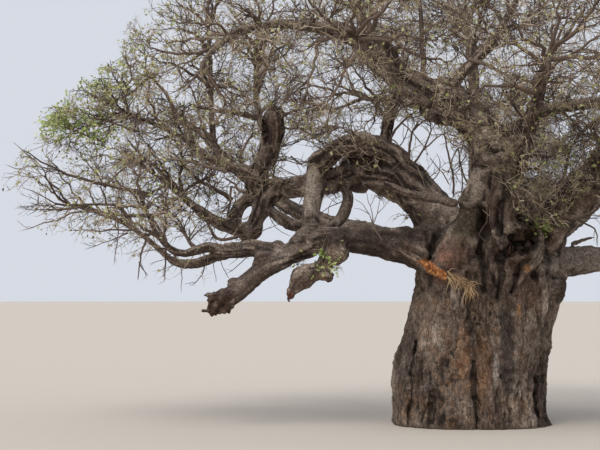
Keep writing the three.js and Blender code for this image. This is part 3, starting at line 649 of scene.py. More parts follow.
x, y, z = V.T
n1, n2 = fbm(V / 0.9, 3, 70), fbm(V / 0.35, 3, 71)
n3 = noise(V / 0.12, 72)
col = srgb(122, 105, 92) * np.ones((len(V), 3))
col = paint(col, wl, srgb(106, 92, 82))
col = paint(col, smooth(0.0, 0.7, n1) * (0.5 + 0.5 * wt), srgb(146, 127, 110), 0.60)
col = paint(col, smooth(0.0, 0.7, -n1) * (0.5 + 0.5 * wt), srgb(84, 70, 61), 0.60)
col = paint(col, smooth(0.15, 0.8, n2) * wt, srgb(140, 106, 76), 0.40)
col = paint(col, smooth(0.1, 0.8, -n2), srgb(112, 104, 98), 0.40)
d_limb = d_limb / calm[limb_n] ** 0.5
# painted light and shade from the relief: its low parts and pits are painted dark as shade, and its raised ridges pale
# as painted highlight
low = wt * d_trunk / 0.075 + wl * (0.55 * d_limb / 0.05 + 0.45 * (stri - 0.6) / 0.25)
col = paint(col, smooth(0.0, -0.9, low), srgb(42, 33, 28), 0.90)
col = paint(col, smooth(0.22, 0.95, low), srgb(180, 164, 148), 0.62)
col = paint(col, pit * wt * (0.4 + 0.6 * rough), srgb(44, 34, 28), 0.70)
col = paint(col, smooth(0.22, 0.65, noise(V * np.array((8.5, 8.5, 6.0)), 79)) * smooth(-1.7, -0.9, x) * smooth(0.6, 0.2, x) * smooth(3.4, 2.6, z) * wt, srgb(138, 102, 72), 0.34)
# painted light and shade: the boughs' upward faces are painted paler and greyer as if lit from above, and their
# undersides dark and brown as painted shade
up = N[:, 2]
col = paint(col, smooth(0.35, 0.9, up) * wl, srgb(136, 124, 112), 0.40)
col = paint(col, smooth(-0.15, -0.8, up) * wl, srgb(64, 52, 45), 0.45)
PATCHES = [  # middle, half sizes, colour, amount: tints that have a place on the bark, and patches of painted shade marked below
    [(-0.42, -1.8, 1.9), (0.22, 0.5, 1.0), (150, 108, 72), 0.36], [(0.10, -1.8, 1.6), (0.25, 0.5, 1.0), (136, 98, 68), 0.36],
    [(0.72, -1.8, 1.9), (0.27, 0.5, 1.6), (54, 46, 41), 0.80], [(0.40, -1.8, 1.5), (0.07, 0.5, 0.55), (190, 180, 170), 0.46],
    [(1.00, -1.9, 2.85), (0.10, 0.5, 0.44), (190, 134, 76), 0.85], [(1.4, -1.5, 1.7), (0.5, 0.6, 1.3), (98, 85, 76), 0.50],
    [(-2.0, -0.9, 1.8), (0.45, 0.9, 1.6), (60, 50, 44), 0.55], [(1.95, -0.8, 0.9), (0.28, 0.7, 1.1), (64, 54, 48), 0.50],
    # painted shade on this line: the patches at (0.2, -1.3, 5.4) and (0.30, -1.5, 4.85) in the recess between the
    # centre bough and the front upright, the first also reddish-brown inner wood, and the one at (-5.9, -1.5, 3.7) over
    # the broken bough
    [(-0.75, -1.7, 3.78), (0.80, 0.5, 0.26), (124, 88, 66), 0.45], [(1.20, -1.7, 4.04), (0.13, 0.4, 0.10), (176, 122, 74), 0.70], [(1.42, -1.7, 4.06), (0.10, 0.4, 0.14), (142, 126, 112), 0.5], [(-4.2, 0.0, 5.85), (0.36, 0.9, 0.95), (172, 158, 144), 0.85], [(-4.0, -1.75, 3.82), (0.16, 0.2, 0.12), (140, 112, 84), 0.6], [(0.2, -1.3, 5.4), (0.16, 0.5, 0.8), (84, 54, 42), 0.6], [(0.30, -1.5, 4.85), (0.26, 0.6, 0.65), (76, 60, 50), 0.6], [(0.95, -1.8, 4.15), (0.42, 0.5, 0.40), (88, 66, 54), 0.5], [(-5.9, -1.5, 3.7), (1.3, 0.7, 0.9), (74, 61, 55), 0.72],
    [(-0.75, -1.5, 4.44), (0.62, 0.6, 0.52), (128, 94, 80), 0.44], [(-4.25, -0.9, 4.86), (0.30, 0.4, 0.22), (124, 74, 52), 0.60],
    [(-1.9, -1.45, 4.5), (0.60, 0.3, 0.26), (116, 78, 62), 0.65], [(-0.35, -1.5, 5.4), (0.7, 0.7, 0.9), (104, 94, 78), 0.50],
    [(-0.1, -1.6, 3.9), (0.6, 0.5, 0.6), (92, 80, 68), 0.35], [(1.3, -1.6, 3.3), (0.45, 0.5, 0.6), (92, 64, 48), 0.40],
    # painted shade on this line: the patch at (-1.45, -0.6, 5.20) in the valley between the arch bough's foot and the
    # centre bough, and the one at (-2.8, -1.2, 4.72) over the low bough, mostly on its lower side
    [(3.2, -0.2, 4.3), (1.3, 0.7, 0.5), (146, 134, 124), 0.70], [(1.88, -1.35, 4.14), (0.30, 0.3, 0.22), (158, 146, 134), 0.65], [(-1.45, -0.6, 5.20), (0.75, 1.2, 0.62), (68, 56, 48), 0.72], [(0.78, -1.9, 5.5), (0.20, 0.6, 0.40), (120, 108, 98), 0.55], [(0.33, -2.0, 5.8), (0.16, 0.6, 0.7), (76, 54, 44), 0.6], [(0.38, -1.95, 4.92), (0.15, 0.3, 0.16), (144, 130, 116), 0.7], [(-2.8, -1.2, 4.72), (1.7, 0.9, 0.46), (58, 48, 42), 0.80], [(-3.72, -1.75, 4.50), (0.15, 0.2, 0.22), (132, 108, 96), 0.55], [(-4.80, -1.6, 3.30), (0.12, 0.2, 0.22), (120, 76, 66), 0.75], [(0.75, -2.0, 5.02), (0.22, 0.2, 0.07), (140, 130, 112), 0.6], [(0.42, -1.8, 4.86), (0.12, 0.3, 0.14), (136, 118, 100), 0.5], [(1.42, -1.9, 4.42), (0.16, 0.3, 0.30), (128, 118, 108), 0.5], [(0.28, -1.7, 3.5), (0.60, 0.5, 0.62), (82, 64, 52), 0.50],
    # painted shade on this line: the patches at (2.26, -0.7, 3.42) and (2.12, -1.05, 3.60) beside the burr on the
    # trunk's right, and the one at pixel (276, 126) on the shaded side of the upright stump
    [(1.15, -1.95, 2.5), (0.3, 0.5, 0.9), (116, 104, 94), 0.35], [(2.26, -0.7, 3.42), (0.32, 0.7, 0.46), (66, 50, 40), 0.75], [from_frame(276, 126, 0.0), (0.16, 0.5, 0.50), (104, 84, 75), 0.45], [(2.12, -1.05, 3.60), (0.30, 0.6, 0.34), (58, 44, 37), 0.60], [from_frame(440, 257, -1.60), (0.34, 0.5, 0.20), (156, 118, 100), 0.62], [(1.98, -1.1, 4.02), (0.30, 0.5, 0.26), (142, 130, 118), 0.55],
    [(-3.6, -1.6, 4.1), (0.35, 0.4, 0.35), (108, 84, 70), 0.4], [(-4.42, -1.6, 3.78), (0.42, 0.4, 0.34), (88, 69, 60), 0.6], [(-6.5, -1.7, 3.2), (0.38, 0.4, 0.34), (56, 42, 36), 0.85],
]
for c, half, rgb, amount in PATCHES:
    e = np.sqrt((((V - np.array(c)) / np.array(half)) ** 2).sum(-1)) + 0.30 * n2 + 0.16 * n3
    col = paint(col, smooth(1.1, 0.55, e), srgb(*rgb), amount)
# the torn wound under the centre bough, raw orange wood with darker edges
wx, wz = x + 1.16, z - 4.06 + (x + 1.16) * 0.50
wound = smooth(1.10, 0.80, np.hypot(wx / 0.46, wz / 0.165) + 0.32 * n2 + 0.2 * n3) * smooth(-0.8, -1.1, y)
col = paint(col, wound, srgb(182, 120, 72), 0.92)
col = paint(col, wound * smooth(0.1, 0.7, noise(V * np.array((9, 9, 14.0)), 75)), srgb(226, 170, 114), 0.8)
col = paint(col, wound * smooth(0.2, 0.8, -noise(V * np.array((11, 11, 16.0)), 76)), srgb(112, 62, 34), 0.8)
# painted shade darkens the folds between the feet of the boughs
near_fork = (np.abs(x) < 2.6) & (z < 6.2) & (y < 0)
fold_painted_shade = np.zeros(len(V))
fold_painted_shade[near_fork] = gash_depth(V[near_fork])[1]
col = paint(col, fold_painted_shade, srgb(40, 31, 26), 0.85)
# painted shade fills the rotted holes and deep folds, with brown rotten wood mottled over it
col = paint(col, hollow, srgb(34, 25, 21), 0.88)
col = paint(col, hollow * smooth(0.25, 0.8, noise(V * np.array((8, 8, 5.0)), 78)), srgb(96, 62, 46), 0.6)
col = paint(col, torn, srgb(74, 56, 46), 0.55)
col = paint(col, smooth(0.16, 0.0, z), srgb(86, 72, 60), 0.5)
col *= (1 + 0.10 * n3 + 0.06 * noise(V / 0.06, 77))[:, None] * (1 - 0.115 * wt)[:, None]
col = np.clip(col, 0.003, 1)


# ---------------------------------------------------------------------------
# making Blender meshes from arrays
# ---------------------------------------------------------------------------
def make_mesh(name, V, F, mats, mat_index=None, colour=None, normals=None, smooth_on=True):
    me = bpy.data.meshes.new(name)
    F = np.asarray(F, np.int32)
    n = F.shape[1]
    me.vertices.add(len(V))
    me.vertices.foreach_set("co", np.asarray(V, np.float32).ravel())
    me.loops.add(F.size)
    me.loops.foreach_set("vertex_index", F.ravel())
    me.polygons.add(len(F))
    me.polygons.foreach_set("loop_start", np.arange(0, F.size, n, dtype=np.int32))
    me.polygons.foreach_set("use_smooth", np.full(len(F), smooth_on))
    for m in mats:
        me.materials.append(m)
    if mat_index is not None:
        me.polygons.foreach_set("material_index", np.asarray(mat_index, np.int32))
    me.update(calc_edges=True)
    me.validate()
    if colour is not None:
        at = me.color_attributes.new("bark_tint", "FLOAT_COLOR", "POINT")
        at.data.foreach_set("color", np.concatenate([colour, np.ones((len(V), 1))], 1).astype(np.float32).ravel())
    if normals is not None:
        me.normals_split_custom_set_from_vertices([tuple(v) for v in normals])
    ob = bpy.data.objects.new(name, me)
    bpy.context.scene.collection.objects.link(ob)
    return ob


def compact(V, F, *extra):
    used = np.unique(F)
    new = np.zeros(len(V), int)
    new[used] = np.arange(len(used))
    return (V[used], new[F]) + tuple(e[used] for e in extra)


# ---------------------------------------------------------------------------
# materials
# ---------------------------------------------------------------------------
def new_material(name):
    m = bpy.data.materials.new(name)
    m.use_nodes = True
    return m, m.node_tree, m.node_tree.nodes["Principled BSDF"]


def bark_material(name, stretch, bump, rough, crack_low):
    m, nt, bsdf = new_material(name)
    N_, L_ = nt.nodes, nt.links
    bsdf.inputs["Roughness"].default_value = rough
    bsdf.inputs["Specular IOR Level"].default_value = 0.22
    tc = N_.new("ShaderNodeTexCoord")
    mp = N_.new("ShaderNodeMapping")
    mp.inputs["Scale"].default_value = stretch
    L_.new(tc.outputs["Object"], mp.inputs["Vector"])
    fib = N_.new("ShaderNodeTexNoise")
    fib.inputs["Scale"].default_value = 11.0
    fib.inputs["Detail"].default_value = 6.0
    fib.inputs["Roughness"].default_value = 0.62
    L_.new(mp.outputs["Vector"], fib.inputs["Vector"])
    vor = N_.new("ShaderNodeTexVoronoi")
    vor.feature = "DISTANCE_TO_EDGE"
    vor.inputs["Scale"].default_value = 9.0
    L_.new(mp.outputs["Vector"], vor.inputs["Vector"])
    spk = N_.new("ShaderNodeTexNoise")
    spk.inputs["Scale"].default_value = 34.0
    spk.inputs["Detail"].default_value = 3.0
    L_.new(mp.outputs["Vector"], spk.inputs["Vector"])
    att = N_.new("ShaderNodeVertexColor")
    att.layer_name = "bark_tint"
    dark = N_.new("ShaderNodeMapRange")
    dark.inputs["From Min"].default_value, dark.inputs["From Max"].default_value = 0.30, 0.70
    dark.inputs["To Min"].default_value, dark.inputs["To Max"].default_value = 0.34, 1.70
    L_.new(fib.outputs["Fac"], dark.inputs["Value"])
    spot = N_.new("ShaderNodeMapRange")
    spot.inputs["From Min"].default_value, spot.inputs["From Max"].default_value = 0.35, 0.65
    spot.inputs["To Min"].default_value, spot.inputs["To Max"].default_value = 0.60, 1.47
    L_.new(spk.outputs["Fac"], spot.inputs["Value"])
    mul = N_.new("ShaderNodeMath")
    mul.operation = "MULTIPLY"
    L_.new(dark.outputs[0], mul.inputs[0])
    L_.new(spot.outputs[0], mul.inputs[1])
    crack = N_.new("ShaderNodeMapRange")
    crack.inputs["From Min"].default_value, crack.inputs["From Max"].default_value = 0.0, 0.11
    crack.inputs["To Min"].default_value, crack.inputs["To Max"].default_value = crack_low, 1.0
    L_.new(vor.outputs["Distance"], crack.inputs["Value"])
    mul2 = N_.new("ShaderNodeMath")
    mul2.operation = "MULTIPLY"
    L_.new(mul.outputs[0], mul2.inputs[0])
    L_.new(crack.outputs[0], mul2.inputs[1])
    scale = N_.new("ShaderNodeVectorMath")
    scale.operation = "SCALE"
    L_.new(att.outputs["Color"], scale.inputs[0])
    L_.new(mul2.outputs[0], scale.inputs["Scale"])
    L_.new(scale.outputs[0], bsdf.inputs["Base Color"])
    bp = N_.new("ShaderNodeBump")
    bp.inputs["Strength"].default_value = 0.75
    bp.inputs["Distance"].default_value = bump
    L_.new(mul2.outputs[0], bp.inputs["Height"])
    L_.new(bp.outputs["Normal"], bsdf.inputs["Normal"])
    return m


MAT_TRUNK = bark_material("trunk_bark_look", (1.25, 1.25, 0.58), 0.030, 0.93, 0.60)
MAT_BOUGH = bark_material("bough_bark_look", (1.35, 1.35, 1.35), 0.014, 0.90, 0.86)


def plain(name, rgb, rough=0.85, sheen=0.0, both=False):
    m, nt, bsdf = new_material(name)
    bsdf.inputs["Base Color"].default_value = (*srgb(*rgb), 1)
    bsdf.inputs["Roughness"].default_value = rough
    bsdf.inputs["Specular IOR Level"].default_value = 0.2
    return m


# ---- the bark's pieces ----------------------------------------------------------
# faces on the flat cut are dropped and closed again with one fan
cen = V[Q].mean(1)
bottom = (V[Q][:, :, 2] < 0.004).all(1)
Q_side = Q[~bottom]
cen = cen[~bottom]
is_trunk = (wt[Q_side].mean(1) > 0.5) & (cen[:, 2] < 5.6)
names = [n[0] for n in LIMBS]
LEFT = {"arch_bough", "arch_outer", "arch_twin", "link_upright", "link_loop", "drop_spur", "upright_stump", "stump_shoot",
        "low_bough", "broken_bough", "hanging_spur", "hanging_tip", "low_left_limb", "antler_upper", "antler_lower",
        "mid_left_limb", "upper_left_limb", "upper_left_riser", "link_sway", "loop_limb"}
of_limb = np.full(200, 1)
for k, nm in enumerate(names):
    of_limb[k] = 0 if nm in LEFT else 2 if nm.startswith("back_") else 1
side_of = of_limb[limb_n[Q_side[:, 0]]]
side_of = np.where((limb_n[Q_side[:, 0]] >= 80) & (cen[:, 0] < -0.75), 0, side_of)
west, rest, rear = [~is_trunk & (side_of == k) for k in range(3)]
ring_e = np.concatenate([Q_side[:, [k, (k + 1) % 4]] for k in range(4)])
fwd = set(map(tuple, ring_e))
open_e = np.array([(b, a) for a, b in fwd if (b, a) not in fwd and V[a, 2] < 0.02 and V[b, 2] < 0.02])
pieces = {}
NODE_SETS = {"trunk_skin": ["trunk"], "left_boughs_skin": [], "upper_boughs_skin": [], "back_boughs_skin": []}
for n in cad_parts:
    if n != "trunk" and not n.endswith("_mass"):
        NODE_SETS["left_boughs_skin" if n in LEFT else "back_boughs_skin" if n.startswith("back_") else "upper_boughs_skin"].append(n)
for name, mask, mat in (("trunk_skin", is_trunk, MAT_TRUNK), ("left_boughs_skin", west, MAT_BOUGH), ("upper_boughs_skin", rest, MAT_BOUGH), ("back_boughs_skin", rear, MAT_BOUGH)):
    F = Q_side[mask]
    v, f, c, nn = compact(V, F, col, N)
    ob = make_mesh(name, v, f, [mat], colour=c, normals=nn)
    pieces[name] = ob
    print(name, len(f) * 2, "triangles")
if len(open_e):
    used, inv = np.unique(open_e, return_inverse=True)
    inv = inv.reshape(-1, 2)
    cv = np.concatenate([V[used], [[0.0, 0.0, 0.0]]])
    cf = np.concatenate([inv, np.full((len(inv), 1), len(used))], 1)
    foot = make_mesh("flat_foot", cv, cf, [MAT_TRUNK], colour=np.tile(srgb(86, 72, 60), (len(cv), 1)))
    pieces["flat_foot"] = foot
    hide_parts("trunk")
for name, nodes in NODE_SETS.items():
    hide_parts(*nodes)

# ---------------------------------------------------------------------------
# where twigs may grow: the crown's outline and its gaps, as the view shows them
# ---------------------------------------------------------------------------
SKY = [  # middle u and v, half width and height, how open: gaps that show the sky
    (418, 150, 26, 26, 0.50), (442, 172, 24, 24, 0.44), (400, 138, 16, 18, 0.85), (372, 206, 25, 17, 0.92),
    (291, 209, 11, 12, 0.80), (330, 210, 11, 12, 0.80), (274, 230, 24, 14, 0.76), (244, 214, 7, 10, 0.80),
    (232, 238, 12, 7, 0.80), (303, 152, 12, 9, 0.85), (295, 169, 9, 7, 0.80), (341, 166, 8, 5, 0.80),
    (342, 87, 36, 17, 0.40), (364, 126, 14, 10, 0.50), (220, 109, 12, 9, 0.25), (213, 138, 9, 11, 0.62),
    (478, 91, 24, 15, 0.12), (588, 222, 17, 26, 0.97), (200, 205, 8, 6, 0.70), (248, 180, 10, 6, 0.70),
    (560, 128, 9, 8, 0.50), (570, 112, 8, 7, 0.45), (100, 190, 14, 6, 0.35), (190, 95, 8, 6, 0.40),
]
LEFT_EDGE = np.array([  # v, u
    (-500, 150), (-60, 150), (0, 134), (10, 132), (50, 112), (60, 107), (68, 96), (78, 80), (85, 73), (92, 68), (100, 61),
    (108, 46), (116, 39), (126, 33), (138, 32), (146, 26), (152, 13), (165, 4), (180, 1), (200, 4), (215, 14), (230, 26), (242, 62), (600, 62)])
LOW_EDGE = np.array([  # u, v
    (-100, 200), (0, 208), (20, 232), (60, 241), (85, 250), (110, 256), (128, 272), (142, 283), (200, 290), (222, 280),
    (244, 258), (300, 240), (420, 232), (440, 244), (545, 244), (600, 250), (700, 250), (900, 262)])


FORK_EDGE = np.array([  # u, v: where the thick twigs in front of the fork end
    (390, 190), (440, 186), (470, 181), (490, 185), (503, 196), (515, 212), (535, 224), (550, 230), (570, 230), (600, 224)])


def allowed(p, strict=1.0):
    """chance for each point that a twig may be there"""
    u, v = to_frame(p)
    edge_u = np.interp(v, LEFT_EDGE[:, 0], LEFT_EDGE[:, 1])
    edge_v = np.interp(u, LOW_EDGE[:, 0], LOW_EDGE[:, 1])
    ok = smooth(-7, 3, u - edge_u) * smooth(-7, 3, edge_v - v)
    for cu, cv, hu, hv, gap in SKY:
        e = np.hypot((u - cu) / hu, (v - cv) / hv)
        ok = ok * (1 - gap * strict * smooth(1.18, 0.86, e))
    fork_v = np.interp(u, FORK_EDGE[:, 0], FORK_EDGE[:, 1])
    ok = ok * (1 - 0.86 * smooth(-4, 5, v - fork_v) * smooth(392, 410, u) * smooth(620, 600, u) * smooth(-0.5, -0.9, p[..., 1]) * smooth(4.0, 4.6, p[..., 2]))
    # the front of the broken upright stump stands clear of twigs
    ok = ok * (1 - 0.85 * smooth(1.15, 0.85, np.hypot((u - 270) / 12, (v - 134) / 22)) * smooth(0.7, 0.35, p[..., 1]))
    box = (p[..., 0] > -12.95) & (p[..., 0] < 12.45) & (p[..., 1] > -10.0) & (p[..., 1] < 11.9) & (p[..., 2] < 14.5) & (p[..., 2] > 3.0)
    for c, reach in TUFT_FEET:
        ok = np.maximum(ok, smooth(reach, reach * 0.75, np.linalg.norm(p - c, axis=-1)))
    return ok * box


def outward(p):
    return unit((p - np.array((0.0, 0.0, 6.6))) / np.array((11.0, 9.5, 4.6)))


TUFTS = [  # foot, how many shoots, how long, which way: small leafy tufts on old bark
    [(-3.92, -1.66, 4.10), 12, 0.34, (0.1, -1.0, 0.1)], [(-3.66, -1.70, 4.24), 8, 0.34, (0.8, -1.0, -0.3)], [(-4.62, -1.40, 4.22), 9, 0.32, (-0.2, -0.8, -0.9)],
    [(-4.12, -1.56, 4.50), 8, 0.26, (0.0, -1.0, -0.6)], [(1.50, -1.55, 5.10), 12, 0.34, (0.2, -1.0, 0.2)], [(1.92, -1.35, 5.26), 10, 0.32, (0.3, -1.0, 0.2)],
    [(1.16, -1.90, 5.24), 8, 0.34, (0.0, -1.0, 0.5)], [from_frame(327, 192, 0.15), 14, 0.34, (0.0, -0.9, -0.8)],
    [from_frame(336, 193, 0.15), 12, 0.34, (0.2, -0.9, -0.6)], [from_frame(294, 188, 0.2), 12, 0.34, (0.0, -0.9, -0.7)],
    [from_frame(380, 196, 0.1), 10, 0.34, (0.0, -1.0, -0.3)],
]
TUFT_FEET = [(np.array(t[0]), 0.60 if k < 4 else 0.42) for k, t in enumerate(TUFTS[:7])]


def bezier_paths(p0, p1, p2, p3, K):
    t = np.linspace(0, 1, K)[None, :, None]
    return (1 - t) ** 3 * p0[:, None] + 3 * (1 - t) ** 2 * t * p1[:, None] + 3 * (1 - t) * t * t * p2[:, None] + t ** 3 * p3[:, None]


def wiggle(paths, amount):
    M, K, _ = paths.shape
    span = np.linalg.norm(paths[:, -1] - paths[:, 0], axis=1)
    n = rng.normal(size=(M, K, 3)) * (amount * span)[:, None, None]
    n[:, 0] = 0
    return paths + n


def taper(r0, r1, K, power=1.0):
    t = np.linspace(0, 1, K)[None, :] ** power
    return r0[:, None] * (1 - t) + r1[:, None] * t


def join(a, b):
    return [np.concatenate(pair) for pair in zip(a, b)]


# nodes that something can grow from: place, heading, radius
def nodes_of(paths, radii, start=0.25):
    M, K, _ = paths.shape
    d = unit(np.gradient(paths, axis=1))
    k0 = int(round(start * (K - 1)))
    return [paths[:, k0:].reshape(-1, 3), d[:, k0:].reshape(-1, 3), radii[:, k0:].ravel()]


nodes = [np.zeros((0, 3)), np.zeros((0, 3)), np.zeros(0)]
for li, (name, *_r) in enumerate(LIMBS):
    c, r, s = chains[name]
    k0 = int(len(c) * 0.22)
    d = unit(np.gradient(c, axis=0))
    nodes = join(nodes, [c[k0::2], d[k0::2], r[k0::2]])


def attach(targets, nodes, reach, need, cap, r_end, K, fan, wob, keep_heading=0.5, shortest=0.3):
    """each target is joined to the best node near it; returns paths and radii"""
    P, D, Rr = nodes
    fit = np.where(Rr >= need)[0]
    kd = KDTree(len(fit))
    for i, k in enumerate(fit):
        kd.insert(P[k], i)
    kd.balance()
    rows, ends = [], []
    for tg in targets:
        best, low = -1, 1e9
        for co, i, dist in kd.find_n(tg, 16):
            if dist > reach or dist < shortest:
                continue
            k = fit[i]
            v = (tg - P[k]) / dist
            score = dist * (1 + fan * (1 - float(v @ D[k])))
            if score < low:
                best, low = k, score
        if best >= 0:
            rows.append(best)
            ends.append(tg)
    rows, ends = np.array(rows), np.array(ends)
    v = unit(ends - P[rows])
    r_at = Rr[rows]
    p0 = P[rows] + v * np.where(r_at > 0.05, r_at * 0.8, 0.0)[:, None]
    L = np.linalg.norm(ends - p0, axis=1)[:, None]
    d0 = unit(keep_heading * D[rows] + (1 - keep_heading) * v + 0.14 * rng.normal(size=v.shape))
    d3 = unit(0.70 * v + 0.30 * outward(ends) + 0.20 * rng.normal(size=v.shape))
    paths = wiggle(bezier_paths(p0, p0 + d0 * L * 0.36, ends - d3 * L * 0.33, ends, K), wob)
    mids = np.stack([allowed(paths[:, k]) for k in range(1, K)], 1).min(1)
    go = rng.random(len(paths)) < mids
    paths, r_at = paths[go], r_at[go]
    r0 = np.minimum(cap, r_at * 0.78)
    return paths, taper(r0, np.minimum(r_end, r0 * 0.7), K, 0.8)


def in_masses(n_each, low, high, grow=1.0, spread=True):
    """seeded points in the shell between low and high of each mass of the crown"""
    out = []
    for (name, c, half, seed), n in zip(MASSES + FILLS, n_each):
        if n < 1:
            continue
        d = unit(rng.normal(size=(n * (7 if spread else 1), 3)))
        rad = low + (high - low) * rng.random(len(d)) ** 0.6
        p = np.array(c) + d * rad[:, None] * np.array(half) * grow
        if spread:                                        # the points keep away from each other
            left, pick = list(range(1, len(p))), [0]
            far = np.linalg.norm(p - p[0], axis=1)
            for _k in range(n - 1):
                j = int(far.argmax())
                pick.append(j)
                far = np.minimum(far, np.linalg.norm(p - p[j], axis=1))
            p = p[pick]
        out.append(p)
    p = np.concatenate(out)
    return p[rng.random(len(p)) < allowed(p)]


FILLS = [  # sprays that hang or rise between the masses: middle, half sizes, how dense
    ["", [-10.7, 0.3, 7.9], [1.0, 1.4, 0.75], 3.0], ["", [-9.9, 0.5, 8.85], [1.0, 1.4, 0.8], 2.8], ["", [-9.0, 0.3, 9.7], [1.1, 1.6, 0.9], 2.2], ["", [-3.3, -1.0, 7.2], [1.7, 0.5, 0.7], 3.4],
    ["", [1.7, 0.9, 5.9], [0.9, 0.7, 0.6], 9.0], ["", [1.5, -2.6, 5.95], [0.9, 0.8, 0.5], 5.0],
    ["", [2.1, -3.2, 6.45], [2.2, 1.6, 1.45], 4.0], ["", [2.3, 0.9, 7.2], [1.5, 1.2, 1.4], 2.6], ["", [0.9, -2.9, 7.5], [2.2, 1.6, 1.1], 2.6], ["", [3.4, -1.6, 6.9], [1.3, 1.5, 1.3], 1.8],
    ["", [-6.5, 1.4, 7.2], [1.6, 2.0, 1.3], 2.0], ["", [-3.9, -1.0, 8.0], [2.2, 1.8, 1.2], 3.0], ["", [-5.0, 0.0, 6.9], [1.3, 1.3, 0.8], 1.6],
    ["", [-8.4, 0.2, 6.2], [1.7, 1.9, 0.9], 1.6], ["", [3.6, -1.6, 8.6], [2.2, 2.2, 1.5], 2.4], ["", [1.35, -2.7, 5.65], [1.25, 0.9, 0.55], 9.0], ["", [3.3, -1.0, 6.2], [0.9, 1.0, 0.8], 3.0], ["", [-7.0, -0.6, 5.4], [1.2, 1.3, 0.8], 2.4], ["", [-8.0, 0.6, 7.6], [1.6, 1.8, 1.1], 2.0], ["", [-6.9, 0.4, 6.3], [1.3, 1.4, 0.9], 2.2], ["", [-9.2, -0.4, 6.9], [1.3, 1.4, 0.9], 1.4],
    ["", [-1.4, 0.6, 10.3], [2.4, 2.4, 1.3], 1.0], ["", [-8.4, -1.2, 9.0], [1.6, 2.2, 1.4], 1.0],
    ["", [7.4, 1.4, 7.8], [2.4, 2.4, 1.6], 0.8], ["", [2.2, 5.2, 8.4], [2.6, 2.4, 1.6], 0.8],
    ["", [-3.4, 4.6, 8.2], [2.6, 2.4, 1.6], 1.0], ["", [-1.2, -4.4, 8.4], [2.2, 1.6, 1.1], 1.8],
    ["", [2.6, -4.6, 9.6], [2.4, 2.2, 1.4], 1.6], ["", [-4.6, -1.6, 10.6], [2.2, 2.4, 1.2], 1.2],
    ["", [6.8, -2.6, 10.2], [2.2, 2.6, 1.4], 1.2], ["", [-5.0, -3.6, 7.9], [2.0, 1.8, 1.0], 1.4],
    ["", [-5.2, 5.2, 7.0], [2.0, 2.0, 1.2], 1.0], ["", [4.6, 3.2, 10.4], [2.4, 2.2, 1.3], 0.8],
    ["", [-3.2, 5.0, 10.8], [2.2, 2.2, 1.2], 0.8], ["", [0.6, 0.8, 11.0], [2.2, 2.2, 1.3], 1.0],
]
vol = [m[2][0] * m[2][1] * m[2][2] for m in MASSES + FILLS]
n1 = [int(round(6 + 0.55 * v)) for v in vol[:len(MASSES)]] + [2 + int(f[3] * 1.2) for f in FILLS]
n2 = [int(round(9 + 5.3 * v)) for v in vol[:len(MASSES)]] + [int(round((5 + 3.8 * v) * f[3])) for v, f in zip(vol[len(MASSES):], FILLS)]
